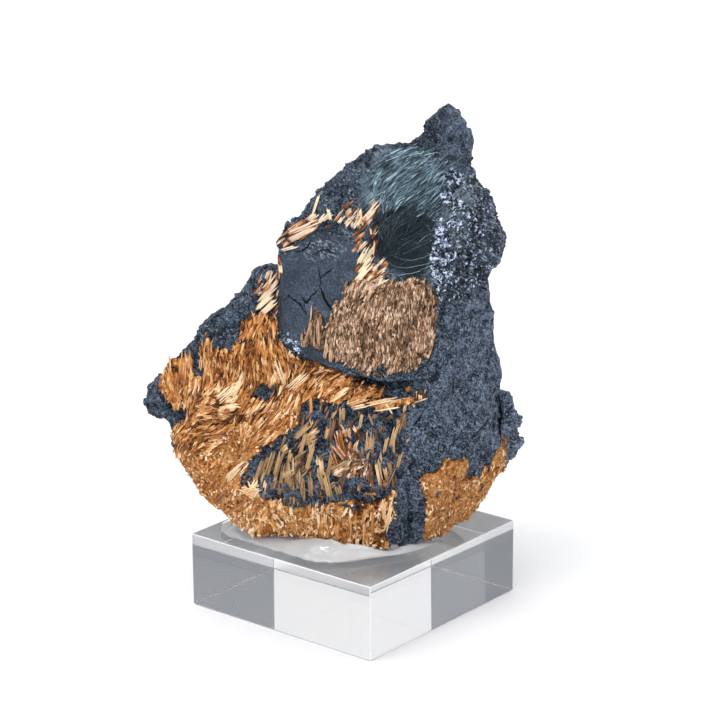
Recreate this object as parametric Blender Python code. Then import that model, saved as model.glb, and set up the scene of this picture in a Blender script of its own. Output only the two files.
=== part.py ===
"""Rutile on hematite: a broken plate of hematite overgrown with rutile needles, glued upright on a clear acrylic block.

Units are metres and +Z is up. The origin is the middle of the block's underside, and X and Y run along the block's
edges. The specimen is modelled in a frame of its own, with x across its best face, y towards its back and z up, and
is then turned on the block, so that this face looks over one corner of it.
"""

import math
import random

import bmesh
import bpy
from mathutils import Matrix, Vector, noise
from mathutils.bvhtree import BVHTree

MM = 0.001
BASE_SIDE = 38.1 * MM
BASE_HEIGHT = 12.5 * MM
BASE_BEVEL = 0.4 * MM
TURN = math.radians(39.45)
GAP = 0.3 * MM

VOXEL = 0.9 * MM
HEMATITE_TRIANGLES = 3800
HOLLOW_SHARE = 0.09

# How deep the rutile has eaten into the hematite, and the least and the most that it stands out of it again.
CRUST_DEPTH = 1.0 * MM
CRUST_RIM = 0.45 * MM
CRUST_RELIEF = (0.05 * MM, 0.9 * MM)

# The broken faces of the hematite, as lumps that run into each other. Each lump is the convex hull of the corners
# where its faces meet, in millimetres.
LUMPS = {
    "block": (
        (-12, -7, 62.5), (-11, -10, 47), (-8, -11, 45.5), (-1, -13, 43), (5, -14.5, 42), (13.5, -13.5, 41.5),
        (13.5, -12, 56), (7.5, -11, 58.5), (4, -10, 60.5), (3, -6.5, 69), (-7, -5.5, 68.5), (-1.5, 0, 74), (4, 1, 77.5),
        (9, 2, 78), (17, 3, 74), (21.5, -3, 55.5), (22, -3, 42), (-9, 8, 62), (-8, 10, 45), (0, 8, 73), (8, 9, 76),
        (16, 9, 71), (20, 12, 58), (21, 13, 42), (5, 15, 52),
    ),
    "shoulder": (
        (25, -1, 62), (23, 0, 66.5), (21.5, -3, 55.5), (23.5, -2, 58), (13.5, -12, 57), (12, -9, 64.5),
        (17, -6, 68.5), (19.5, 0, 73), (21, 8, 68), (21, 9, 56), (10, 5, 60),
    ),
    "flank": (
        (13.5, -12.5, 57), (13.5, -14, 42), (21.5, -3, 55.5), (23, -2.5, 50), (24, -2, 38), (24.5, -3, 26),
        (22, -2, 20), (19.5, -2, 15), (9, -11, 13.5), (14, -13, 27), (22, 9, 54), (22, 10, 36), (21, 9, 24),
        (15, 9, 15), (8, 9, 13.5), (4, 15, 22), (4, 15, 50), (4, -6, 45), (4, -8, 24),
    ),
    "foot": (
        (-7.5, -9.5, 44), (0, -11, 42.5), (12.5, -12, 40), (-9, -10.5, 35), (-13.5, -11.5, 30.5), (-18, -11.5, 25),
        (-21.5, -7, 19), (-20, -7, 16.5), (-15, -9, 15), (-2, -12, 14.5), (7.5, -12.5, 13.5), (-1, -14.5, 25),
        (12, -13, 30), (-16, 6, 21), (-10, 9, 15), (8, 9, 13.5), (-6, 12, 38), (10, 13, 38),
    ),
    "wing": (
        (-11, -7, 47), (-11, -5, 57.5), (-14, -3, 58.5), (-18, -2, 52.5), (-22, -2, 48.5), (-28.5, -1, 43.5),
        (-31.5, 0, 37.5), (-31, -1, 32), (-28.3, -1, 25.5), (-24.4, -3, 20), (-21.8, -4.5, 17.2), (-20, -7, 23),
        (-9, -7.5, 35), (-7, -8, 42), (-20, -6, 38), (-12, 9, 55), (-20, 8, 45), (-27, 6, 38), (-26, 6, 28),
        (-20, 7, 20), (-8, 13, 45), (-8, 13, 25),
    ),
    "knob": (
        (-34.5, 1, 34.5), (-33.5, -0.5, 37), (-31, -1.5, 38), (-30, -2, 32), (-33.5, 0.5, 32), (-29, 5, 35),
        (-31, 4, 31), (-31, 4, 39),
    ),
    "tip": (
        (16, 5, 83.5), (13.5, 4, 82), (11.5, 3.5, 80), (9.5, 4, 77), (18.7, 1, 75), (17.8, 3, 80), (15, 8, 82),
        (11, 9, 75), (17.5, 9, 75), (20.3, 4, 70), (20, -1, 69), (10, 6, 72),
    ),
    "ear": (
        (24.5, 0, 36), (26, 2, 34.5), (27.5, 3, 31), (28.5, 4, 26), (27.5, 4, 23), (24.5, 2, 21), (20, 0, 36),
        (20, 0, 22), (22, 10, 35), (25, 9, 28), (22, 9, 22),
    ),
    "rim_lump": (
        (-22, -3.5, 48), (-19.5, -4, 49.5), (-17, -4.5, 49), (-16.5, -5.2, 46), (-18.5, -6.3, 44.3), (-21, -5.6, 43.8),
        (-23, -4, 45), (-18, 2, 47), (-21, 2, 46),
    ),
    "back_slab": (
        (-14, 8, 50), (2, 13, 62), (17, 14, 55), (19, 15, 38), (6, 18.5, 36), (-12, 15, 34), (10, 16, 24),
        (-8, 12, 22), (0, 4, 40),
    ),
}

# The shell-shaped fracture above the mat, as the ellipsoid that it is scooped with.
SCOOP_CENTRE = (10.5, -21, 76.5)
SCOOP_RADII = (16, 21, 22)

# The cave under the ledge of the block, as the corners of what it is hollowed with.
CAVE = ((4, -16, 39.3), (13, -16, 39), (12.5, -16, 41.6), (5, -16, 42), (5, -8.5, 40.2), (11.5, -8.5, 40))


# Where rutile covers the hematite, as outlines in x and z that are seen from the front, or from the back where the
# side is 1, in millimetres. An outline whose name begins with "gap" stays free. A crust is in one piece.
CRUSTS = {
    "rutile_mass": (-1, {
        "left": (
            (-34, 37.5), (-31.5, 42.5), (-28, 42.5), (-27, 44), (-26, 43), (-25.5, 40.5), (-23.5, 41), (-24.5, 45),
            (-25, 47), (-23, 47.5), (-22, 45.5), (-18.5, 46), (-16.5, 49.5), (-12, 49.5), (-11.5, 47), (-10, 45),
            (-5.5, 44.5), (-1, 42.8), (1, 41), (1, 38.5), (-3.5, 37.5), (-7.5, 38.5), (-9, 35.5), (-10.5, 33),
            (-13.5, 30.5), (-16, 28.5), (-18, 24.5), (-19, 20), (-20.5, 14), (-25, 15), (-28, 21), (-31, 28),
            (-29, 31), (-26.5, 33), (-27, 35.5), (-28.5, 33.5), (-31.5, 35),
        ),
        "seam": (
            (-1, 42.5), (3.5, 41), (7, 40.5), (12, 40.8), (11.5, 38.8), (9, 37.6), (7, 37.8), (4.5, 36.6), (1, 37.6),
            (-3, 37.6),
        ),
        "foot": (
            (-21, 24), (-18, 25), (-14.5, 23.2), (-10, 22), (-6.5, 22), (-3, 23), (4.5, 23.2), (7, 25.2), (7, 18.5),
            (5.5, 16), (7.5, 12), (-23, 12),
        ),
        "gap in the middle": ((-16.5, 38.5), (-15, 36.5), (-12, 37.5), (-12, 39.5), (-15, 40)),
    }),
    "rutile_cluster": (-1, {
        "middle": (
            (-4, 26.5), (-1.5, 30), (-2.5, 33.5), (0, 35.2), (1.3, 33.5), (0.5, 31.2), (2.5, 31.6), (3.6, 31.8),
            (3.8, 26.3), (2, 25.6), (-0.5, 26.6),
        ),
    }),
    "rutile_face_mat": (-1, {
        "mat": (
            (-3.5, 52), (-0.5, 57.8), (5, 58.8), (9.5, 58.5), (12.8, 57.2), (13.8, 53.5), (13.3, 48.5), (12, 45.2),
            (9, 44.5), (2, 43.7), (-1.5, 45), (-4, 45.5),
        ),
        "spray": ((-8, 47.8), (-5.5, 55), (-3.5, 49), (-3.5, 46.5)),
    }),
    "rutile_upper_vein": (-1, {
        "down": (
            (4.3, 69.5), (1.6, 69), (0.2, 67), (0.5, 65), (-0.5, 62.6), (1.5, 62), (-0.5, 60.2), (1.2, 59.9),
            (5.8, 60.6), (3.9, 62.4), (4.6, 64.5), (4.1, 66.5),
        ),
        "across": ((-5.5, 67.5), (-2.5, 69.8), (2, 69.5), (1.5, 67.2), (-2, 66), (-5, 65.8)),
    }),
    "rutile_corner_vein": (-1, {"corner": ((-11.5, 62.4), (-11.5, 65.3), (-8, 66.3), (-6.6, 66.9), (-7.6, 63.6))}),
    "rutile_side_vein": (-1, {
        "side": ((-15.6, 56), (-13.5, 59), (-11, 61), (-11.4, 57), (-11.6, 52), (-14.6, 52.2), (-15.5, 53.5)),
    }),
    "rutile_right_crust": (-1, {
        "right": (
            (10.5, 25), (13, 27), (15, 28.5), (18.5, 27.5), (18, 24), (20.5, 23.5), (20.5, 25), (22.5, 25),
            (23.3, 27), (23.6, 25), (23.2, 20), (21, 14), (14, 12), (11, 12), (11, 18), (12, 21),
        ),
    }),
    "rutile_back_crust": (1, {
        "back": (
            (-14, 38), (-7, 44), (1, 42), (5, 36), (3, 30), (8, 25), (4, 20), (-4, 22), (-9, 27), (-15, 30),
        ),
    }),
}

# The sprays of rutile blades: the crust they grow from, the x and z of the root and of the tip of the middle blade,
# in millimetres, how many blades there are, and the angle in degrees that they fan out over.
SPRAYS = (
    ("rutile_mass", (-21, 37), (-18, 42.3), 3, 40),
    ("rutile_mass", (-23, 36.2), (-18.5, 36), 2, 25),
    ("rutile_mass", (-22.5, 39), (-22.5, 42), 2, 50),
    ("rutile_mass", (-19, 43), (-17, 47), 2, 40),
    ("rutile_mass", (-14.3, 43), (-14.8, 48.3), 2, 40),
    ("rutile_mass", (-11, 40), (-11.5, 44.7), 2, 30),
    ("rutile_mass", (-10.5, 39.3), (-7, 42.8), 2, 30),
    ("rutile_mass", (-8.5, 38.8), (-4, 42.3), 2, 24),
    ("rutile_mass", (-9.3, 36.6), (-6.7, 40.6), 2, 30),
    ("rutile_mass", (-19.5, 24.6), (-15.7, 29.4), 3, 25),
    ("rutile_mass", (-18.5, 24), (-15, 26.6), 2, 40),
    ("rutile_mass", (-29, 34.5), (-29.3, 40.5), 2, 40),
    ("rutile_mass", (-26.8, 39.3), (-26.6, 43.2), 2, 25),
    ("rutile_mass", (-22.5, 28.5), (-19.5, 31.5), 2, 60),
    ("rutile_mass", (-21.5, 24.5), (-18.8, 28), 2, 60),
    ("rutile_mass", (-16.5, 33), (-13.5, 35.8), 2, 60),
    ("rutile_mass", (-24.5, 26.5), (-25.8, 29.8), 2, 70),
    ("rutile_mass", (-1, 39.2), (1.8, 42.4), 2, 50),
    ("rutile_mass", (3.5, 38.7), (6.8, 40.2), 2, 40),
    ("rutile_mass", (7, 38.2), (10.3, 40), 2, 40),
    ("rutile_mass", (-16, 21.8), (-13.7, 28), 2, 22),
    ("rutile_mass", (-13.2, 21.4), (-11.6, 29), 2, 18),
    ("rutile_mass", (-10.6, 20.8), (-10.2, 30), 3, 26),
    ("rutile_mass", (-7.6, 20.6), (-8.6, 29.4), 3, 24),
    ("rutile_mass", (-4.2, 21.2), (-5.8, 28.6), 2, 24),
    ("rutile_mass", (2, 22), (2.6, 25.6), 2, 40),
    ("rutile_mass", (5.2, 22.2), (4.2, 28.6), 2, 30),
    ("rutile_mass", (-1.3, 17.5), (-1.5, 21.8), 2, 30),
    ("rutile_mass", (2.5, 17.3), (3.2, 21.6), 2, 40),
    ("rutile_cluster", (-2.8, 27.2), (1.8, 30.2), 3, 30),
    ("rutile_cluster", (-0.8, 31), (-0.2, 35.2), 2, 40),
    ("rutile_cluster", (2.6, 26.8), (3, 33), 2, 16),
    ("rutile_face_mat", (-0.5, 45.6), (0, 50.6), 2, 16),
    ("rutile_face_mat", (3.5, 45), (3.9, 50.3), 2, 16),
    ("rutile_face_mat", (7.6, 45.4), (7.9, 50.4), 2, 16),
    ("rutile_face_mat", (10.8, 46.6), (10.8, 51.4), 2, 16),
    ("rutile_face_mat", (1.6, 51.6), (2.2, 56.6), 2, 16),
    ("rutile_face_mat", (6, 51.8), (6.4, 57), 2, 16),
    ("rutile_face_mat", (-6.3, 48.2), (-5.5, 53.2), 2, 22),
    ("rutile_upper_vein", (0.8, 63), (3.2, 65), 2, 20),
    ("rutile_upper_vein", (1.2, 65.2), (3.4, 67.4), 2, 20),
    ("rutile_upper_vein", (1.6, 60.6), (4, 62.8), 2, 20),
    ("rutile_upper_vein", (-2, 66.6), (0.2, 68.6), 2, 30),
    ("rutile_corner_vein", (-10, 63.6), (-6.8, 65.6), 3, 30),
    ("rutile_side_vein", (-14.3, 52.8), (-12, 55.8), 2, 16),
    ("rutile_side_vein", (-14.2, 55), (-12, 58.2), 2, 16),
    ("rutile_right_crust", (12.6, 16), (12.6, 20.4), 2, 50),
    ("rutile_right_crust", (16, 17.4), (16.8, 21.6), 3, 60),
    ("rutile_right_crust", (20.4, 19.6), (22, 23.2), 2, 50),
    ("rutile_right_crust", (14.5, 22), (15, 26.2), 3, 60),
    ("rutile_back_crust", (-9, 33), (-5, 38), 4, 70),
    ("rutile_back_crust", (0, 30), (2, 36), 4, 80),
    ("rutile_back_crust", (1, 24), (-3, 28), 3, 60),
)
BLADE_WIDTH = 0.95 * MM
BLADE_THICKNESS = 0.55 * MM
BLADE_LIFT = 9.0

# The glue that holds the specimen: a low mound on the block.
ADHESIVE_CENTRE = (-3.5, -2.5)
ADHESIVE_RADII = (19.5, 15.0)
ADHESIVE_HEIGHT = 4.2 * MM
ADHESIVE_FROM_EDGE = 1.3 * MM
BLADE_FLOOR = BASE_HEIGHT + ADHESIVE_HEIGHT


def clear_scene():
    for obj in list(bpy.data.objects):
        bpy.data.objects.remove(obj)


def material(name, colour, roughness, metallic=0.0, transmission=0.0):
    made = bpy.data.materials.new(name)
    made.use_nodes = True
    shader = made.node_tree.nodes["Principled BSDF"]
    shader.inputs["Base Color"].default_value = (*colour, 1.0)
    shader.inputs["Roughness"].default_value = roughness
    shader.inputs["Metallic"].default_value = metallic
    shader.inputs["Transmission Weight"].default_value = transmission
    return made


def add_object(name, mesh):
    obj = bpy.data.objects.new(name, mesh)
    bpy.context.scene.collection.objects.link(obj)
    return obj


def mesh_from(name, build):
    """A mesh that the function build makes in a bmesh."""
    shape = bmesh.new()
    build(shape)
    bmesh.ops.recalc_face_normals(shape, faces=shape.faces)
    mesh = bpy.data.meshes.new(name)
    shape.to_mesh(mesh)
    shape.free()
    return mesh


def as_helper(obj):
    obj.hide_render = True
    obj.display_type = "WIRE"
    return obj


def lump(name, corners):
    def build(shape):
        for corner in corners:
            shape.verts.new(Vector(corner) * MM)
        hull = bmesh.ops.convex_hull(shape, input=shape.verts)
        loose = [v for v in hull["geom_interior"] + hull["geom_unused"] if isinstance(v, bmesh.types.BMVert)]
        bmesh.ops.delete(shape, geom=list(set(loose)), context="VERTS")

    return as_helper(add_object("lump_" + name, mesh_from(name, build)))


def boolean(obj, other, operation):
    cut = obj.modifiers.new(operation.lower(), "BOOLEAN")
    cut.operation = operation
    cut.solver = "EXACT"
    cut.object = other


def evaluated_mesh(obj):
    graph = bpy.context.evaluated_depsgraph_get()
    return bpy.data.meshes.new_from_object(obj.evaluated_get(graph))


def rough_stone(point):
    """How far the broken surface stands out at a point, in metres. The block's own face is a smooth crystal face."""
    chips = noise.voronoi(point / (7 * MM))[0][0]
    swell = noise.fractal(point / (9 * MM), 0.9, 2.0, 4)
    across = abs(point.x - 1 * MM) < 11 * MM and abs(point.z - 53 * MM) < 13 * MM
    roughness = 0.3 if across and point.y < -7 * MM else 1.0
    return roughness * (0.55 * swell + 0.9 * (0.45 - chips)) * MM


def scoop():
    def build(shape):
        bmesh.ops.create_icosphere(shape, subdivisions=4, radius=1.0)
        bmesh.ops.scale(shape, vec=Vector(SCOOP_RADII) * MM, verts=shape.verts)
        bmesh.ops.translate(shape, vec=Vector(SCOOP_CENTRE) * MM, verts=shape.verts)

    return as_helper(add_object("scoop", mesh_from("scoop", build)))


def hematite():
    body = add_object("hematite_blank", bpy.data.meshes.new("hematite_blank"))
    lumps = [lump(name, corners) for name, corners in LUMPS.items()]
    body.data = lumps[0].data.copy()
    for other in lumps[1:]:
        boolean(body, other, "UNION")
    boolean(body, scoop(), "DIFFERENCE")
    boolean(body, lump("cave", CAVE), "DIFFERENCE")
    remesh = body.modifiers.new("even", "REMESH")
    remesh.mode = "VOXEL"
    remesh.voxel_size = VOXEL
    bpy.context.view_layer.update()
    mesh = evaluated_mesh(body)
    as_helper(body)
    normals = [v.normal.copy() for v in mesh.vertices]
    for vertex, normal in zip(mesh.vertices, normals):
        vertex.co += normal * rough_stone(vertex.co)
    stone = add_object("hematite", mesh)
    thin = stone.modifiers.new("thin", "DECIMATE")
    thin.ratio = HEMATITE_TRIANGLES / sum(len(p.vertices) - 2 for p in mesh.polygons)
    bpy.context.view_layer.update()
    final = evaluated_mesh(stone)
    stone.modifiers.clear()
    stone.data = final
    stone.rotation_euler.z = TURN
    final.materials.append(material("hematite", (0.045, 0.055, 0.075), 0.42, 0.6))
    return stone


def inside(outline, x, z):
    """Whether the point lies in the outline."""
    found = False
    for (x1, z1), (x2, z2) in zip(outline, outline[1:] + outline[:1]):
        if (z1 > z) != (z2 > z) and x < (x2 - x1) * (z - z1) / (z2 - z1) + x1:
            found = not found
    return found


def covered(face, side, outlines):
    """Whether rutile covers a face of the hematite."""
    if face.normal.y * side < -0.2 or face.normal.z < -0.6:
        return False
    x, z = face.calc_center_median().x / MM, face.calc_center_median().z / MM
    held = [name for name, outline in outlines.items() if inside(outline, x, z)]
    return bool(held) and not any(name.startswith("gap") for name in held)


def connected(faces):
    """The faces in groups that hang together, the largest first."""
    groups = []
    left = set(faces)
    while left:
        group, front = set(), [min(left, key=lambda face: face.index)]
        while front:
            face = front.pop()
            if face in left:
                left.discard(face)
                group.add(face)
                front += [other for edge in face.edges for other in edge.link_faces if other in left]
        groups.append(group)
    return sorted(groups, key=len, reverse=True)


def largest_piece(mesh):
    """The mesh without the crumbs that a cut has left."""
    shape = bmesh.new()
    shape.from_mesh(mesh)
    crumbs = [face for group in connected(shape.faces)[1:] for face in group]
    bmesh.ops.delete(shape, geom=crumbs, context="FACES")
    shape.to_mesh(mesh)
    shape.free()
    return mesh


def is_sound(mesh):
    """Whether the body is closed and in one piece, and no part of it runs through another."""
    shape = bmesh.new()
    shape.from_mesh(mesh)
    closed = all(edge.is_manifold for edge in shape.edges) and all(vertex.is_manifold for vertex in shape.verts)
    sound = closed and len(connected(shape.faces)) == 1 and not crossing(shape)
    shape.free()
    return sound


def without_pinches(faces):
    """The faces, changed until no two of them meet in a corner alone, and of these the largest connected patch."""
    for _ in range(20):
        pinched = False
        for vertex in {v for face in faces for v in face.verts}:
            held = [face for face in vertex.link_faces if face in faces]
            ends = sum(1 for edge in vertex.link_edges if sum(f in faces for f in edge.link_faces) == 1)
            if ends > 2:
                pinched = True
                if len(held) * 2 > len(vertex.link_faces):
                    faces |= set(vertex.link_faces)
                else:
                    faces -= set(held)
        if not pinched:
            break
    return connected(faces)[0]


def swirl(point, side):
    """The relief of the rutile at a point, from 0 to 1: bundles of fibres that curl over the surface."""
    turn = noise.noise(point / (14 * MM)) * 2.5
    across = math.cos(turn) * point.x + math.sin(turn) * point.z
    ridge = 0.5 + 0.5 * math.sin(across / (1.1 * MM) + side)
    return 0.55 * ridge + 0.45 * min(1.0, max(0.0, 0.5 + noise.fractal(point / (4 * MM), 0.8, 2.0, 3)))


def crossing(shape):
    """The corners of the faces that run through another face of the same body."""
    tree = BVHTree.FromBMesh(shape)
    shape.faces.ensure_lookup_table()
    found = set()
    for one, two in tree.overlap(tree):
        first, second = shape.faces[one], shape.faces[two]
        if one < two and not set(first.verts) & set(second.verts):
            found |= set(first.verts) | set(second.verts)
    return found


def press_in(shape, patch, was, outward):
    """Presses the hematite in under a crust, less where its faces would run through each other."""
    depth = {v: CRUST_DEPTH for face in patch for v in face.verts if all(f in patch for f in v.link_faces)}
    for _ in range(15):
        for vertex, amount in depth.items():
            vertex.co = was[vertex.index] - outward[vertex.index] * amount
        wrong = [vertex for vertex in crossing(shape) if vertex in depth]
        if not wrong:
            break
        for vertex in wrong:
            depth[vertex] *= 0.6


def shell(name, patch, shape, was, outward, stone_tree):
    """The mesh of a crust, which follows the hematite at the gap and is rough outside, and the corners that fail."""
    side = CRUSTS[name][0]
    verts = sorted({v.index for face in patch for v in face.verts})
    place = {index: number for number, index in enumerate(verts)}
    count = len(verts)
    faces = []
    for face in sorted(patch, key=lambda face: face.index):
        corners = [place[v.index] for v in face.verts]
        faces.append([corner + count for corner in corners])
        faces.append(corners[::-1])
        for loop in face.loops:
            if sum(other in patch for other in loop.edge.link_faces) == 1:
                start, end = place[loop.vert.index], place[loop.link_loop_next.vert.index]
                faces.append([start, end, end + count])
                faces.append([start, end + count, start + count])
    gap = [GAP] * count
    low, high = CRUST_RELIEF
    relief = [low + (high - low) * swirl(was[index], side) for index in verts]
    for _ in range(15):
        made = bmesh.new()
        inner, outer = [], []
        for number, index in enumerate(verts):
            vertex = shape.verts[index]
            near = vertex.co + vertex.normal * gap[number]
            whole = all(face in patch for face in vertex.link_faces)
            far = was[index] + outward[index] * relief[number] if whole else near + vertex.normal * CRUST_RIM
            if (far - near).dot(vertex.normal) < CRUST_RIM:
                far = near + vertex.normal * CRUST_RIM
            inner.append(made.verts.new(near))
            outer.append(far)
        corners = inner + [made.verts.new(point) for point in outer]
        for face in faces:
            made.faces.new([corners[corner] for corner in face])
        made.verts.index_update()
        made.normal_update()
        close = set()
        for face in made.faces:
            points = [face.calc_center_median()] + [(edge.verts[0].co + edge.verts[1].co) / 2 for edge in face.edges]
            for point in points + [vertex.co for vertex in face.verts]:
                nearest, normal, _, distance = stone_tree.find_nearest(point)
                if distance < GAP * 0.8 or (point - nearest).dot(normal) < 0:
                    close |= {vertex.index for vertex in face.verts}
        folded = {vertex.index for vertex in crossing(made)}
        if not close and not folded:
            break
        for index in close:
            gap[index % count] = min(gap[index % count] + 0.08 * MM, 1.0 * MM)
        for index in folded:
            relief[index % count] *= 0.7
    mesh = bpy.data.meshes.new(name)
    made.to_mesh(mesh)
    made.free()
    return mesh, {verts[index % count] for index in folded}


def crusts(stone):
    """The bodies of rutile. The hematite is pressed in under each of them, and keeps clear of it by the gap."""
    shape = bmesh.new()
    shape.from_mesh(stone.data)
    shape.faces.ensure_lookup_table()
    shape.verts.ensure_lookup_table()
    shape.normal_update()
    was = [v.co.copy() for v in shape.verts]
    outward = [v.normal.copy() for v in shape.verts]
    taken = set()
    patches = {}
    for name, (side, outlines) in CRUSTS.items():
        free = [face for face in shape.faces if not any(v.index in taken for v in face.verts)]
        patch = without_pinches({face for face in free if covered(face, side, outlines)})
        patches[name] = patch
        taken |= {v.index for face in patch for corner in face.verts for near in corner.link_faces for v in near.verts}
    for patch in patches.values():
        press_in(shape, patch, was, outward)
    shape.normal_update()
    stone_tree = BVHTree.FromBMesh(shape)
    made = {}
    for name, patch in patches.items():
        for _ in range(6):
            made[name], wrong = shell(name, patch, shape, was, outward, stone_tree)
            if not wrong:
                break
            sound = {face for face in patch if not any(vertex.index in wrong for vertex in face.verts)}
            patch = without_pinches(sound)
    shape.to_mesh(stone.data)
    shape.free()
    return made


def blade(shape, root, direction, normal, length):
    """A rutile blade: a long flat crystal that is pointed at both ends."""
    across = direction.cross(normal).normalized()
    thick = across.cross(direction).normalized()
    middle = root + direction * length * 0.4
    ring = [
        shape.verts.new(middle + across * BLADE_WIDTH / 2),
        shape.verts.new(middle + thick * BLADE_THICKNESS / 2),
        shape.verts.new(middle - across * BLADE_WIDTH / 2),
        shape.verts.new(middle - thick * BLADE_THICKNESS / 2),
    ]
    start = shape.verts.new(root)
    end = shape.verts.new(root + direction * length)
    for one, two in zip(ring, ring[1:] + ring[:1]):
        shape.faces.new((start, one, two))
        shape.faces.new((end, two, one))


def stands_clear(tree, root, direction, length):
    """Whether a blade keeps off the hematite all along."""
    for step in range(9):
        share = step / 8
        half = BLADE_WIDTH * 0.45 * min(share / 0.4, (1 - share) / 0.6)
        point = root + direction * length * share
        place, normal, _, distance = tree.find_nearest(point)
        if distance < GAP * 1.3 + half or (point - place).dot(normal) < 0 or point.z < BLADE_FLOOR:
            return False
    return True


def blades_of(name, surface, stone_tree):
    """The meshes of the blades that grow from a crust."""
    side = CRUSTS[name][0]
    spread = random.Random(name)
    for owner, root, tip, count, fan in SPRAYS:
        if owner != name:
            continue
        along = Vector((tip[0] - root[0], 0, tip[1] - root[1])) * MM
        for number in range(count):
            angle = math.radians(fan) * ((number + 0.5) / count - 0.5)
            offset = Vector((spread.uniform(-0.7, 0.7), 0, spread.uniform(-0.7, 0.7))) * MM
            start = Vector((root[0] * MM, side * 60 * MM, root[1] * MM)) + offset
            length = along.length * spread.uniform(0.75, 1.1)
            hit, normal, _, _ = surface.ray_cast(start, Vector((0, -side, 0)))
            if hit is None:
                continue
            foot = hit - normal * 0.3 * MM
            flat = Matrix.Rotation(angle, 3, "Y") @ along
            flat = (flat - normal * flat.dot(normal)).normalized()
            for lift in range(8):
                rise = math.radians(BLADE_LIFT + 7 * lift)
                direction = flat * math.cos(rise) + normal * math.sin(rise)
                if stands_clear(stone_tree, foot, direction, length):
                    yield mesh_from("blade", lambda shape: blade(shape, foot, direction, normal, length))
                    break


def add_blades(name, mesh, stone_tree):
    """The mesh of a crust with its blades, which are joined to it one after the other."""
    surface = BVHTree.FromPolygons([v.co for v in mesh.vertices], [p.vertices[:] for p in mesh.polygons])
    crust = as_helper(add_object(name + "_crust", mesh))
    helper = as_helper(add_object(name + "_blade", mesh))
    for extra in blades_of(name, surface, stone_tree):
        helper.data = extra
        boolean(crust, helper, "UNION")
        bpy.context.view_layer.update()
        joined = triangulated(evaluated_mesh(crust))
        crust.modifiers.clear()
        if is_sound(joined):
            crust.data = joined
    return crust.data


def rutile(stone):
    looks = {
        "rutile_mass": material("rutile_orange", (0.50, 0.19, 0.045), 0.5),
        "rutile_face_mat": material("rutile_brown", (0.33, 0.20, 0.11), 0.5),
        "rutile_upper_vein": material("rutile_cream", (0.72, 0.50, 0.27), 0.45),
    }
    like = {
        "rutile_cluster": "rutile_mass", "rutile_right_crust": "rutile_mass", "rutile_back_crust": "rutile_mass",
        "rutile_corner_vein": "rutile_upper_vein", "rutile_side_vein": "rutile_upper_vein",
    }
    meshes = crusts(stone)
    stone_tree = BVHTree.FromPolygons([v.co for v in stone.data.vertices], [p.vertices[:] for p in stone.data.polygons])
    made = []
    for name, mesh in meshes.items():
        crust = add_object(name, add_blades(name, mesh, stone_tree))
        crust.rotation_euler.z = TURN
        crust.data.materials.clear()
        crust.data.materials.append(looks[like.get(name, name)])
        made.append(crust)
    return made


def triangulated(mesh):
    shape = bmesh.new()
    shape.from_mesh(mesh)
    bmesh.ops.triangulate(shape, faces=shape.faces)
    shape.to_mesh(mesh)
    shape.free()
    return mesh


def glue_reach(angle):
    """How far the glue spreads from its middle in a direction on the block, which ends before the block's edge."""
    free = Vector((math.cos(angle) / ADHESIVE_RADII[0], math.sin(angle) / ADHESIVE_RADII[1])).length
    reach = MM / free * (1 + 0.03 * math.sin(3 * angle + 1) + 0.02 * math.sin(7 * angle))
    centre = Matrix.Rotation(TURN, 2) @ (Vector(ADHESIVE_CENTRE) * MM)
    direction = Vector((math.cos(angle + TURN), math.sin(angle + TURN)))
    for axis in (0, 1):
        room = BASE_SIDE / 2 - ADHESIVE_FROM_EDGE - math.copysign(centre[axis], centre[axis] * direction[axis])
        if abs(direction[axis]) > 1e-6:
            reach = min(reach, room / abs(direction[axis]))
    return reach


def adhesive(stone, rutiles):
    """The mound of glue, hollowed where the specimen stands in it."""
    sides, rings = 32, 4

    def build(shape):
        floor = BASE_HEIGHT + GAP
        centre = Vector((ADHESIVE_CENTRE[0] * MM, ADHESIVE_CENTRE[1] * MM, 0))
        loops = []
        for ring in range(rings):
            share = 1 - ring / rings
            height = ADHESIVE_HEIGHT * (1 - share ** 2) ** 0.6
            loop = []
            for number in range(sides):
                angle = 2 * math.pi * number / sides
                reach = glue_reach(angle) * share
                point = centre + Vector((math.cos(angle) * reach, math.sin(angle) * reach, 0))
                point.z = floor + 0.35 * MM + height
                loop.append(shape.verts.new(point))
            loops.append(loop)
        rim = [shape.verts.new(Vector((v.co.x, v.co.y, floor))) for v in loops[0]]
        loops.insert(0, rim)
        for low, high in zip(loops, loops[1:]):
            for number in range(sides):
                after = (number + 1) % sides
                shape.faces.new((low[number], low[after], high[after], high[number]))
        shape.faces.new(loops[0][::-1])
        shape.faces.new(loops[-1])
        bmesh.ops.triangulate(shape, faces=shape.faces)

    mound = as_helper(add_object("mound", mesh_from("mound", build)))
    boolean(mound, grown(stone, rutiles), "DIFFERENCE")
    bpy.context.view_layer.update()
    mesh = largest_piece(triangulated(evaluated_mesh(mound)))
    glue = add_object("adhesive", mesh)
    glue.rotation_euler.z = TURN
    mesh.materials.clear()
    mesh.materials.append(material("clear_glue", (0.92, 0.94, 0.96), 0.15, transmission=0.9))
    return glue


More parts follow.
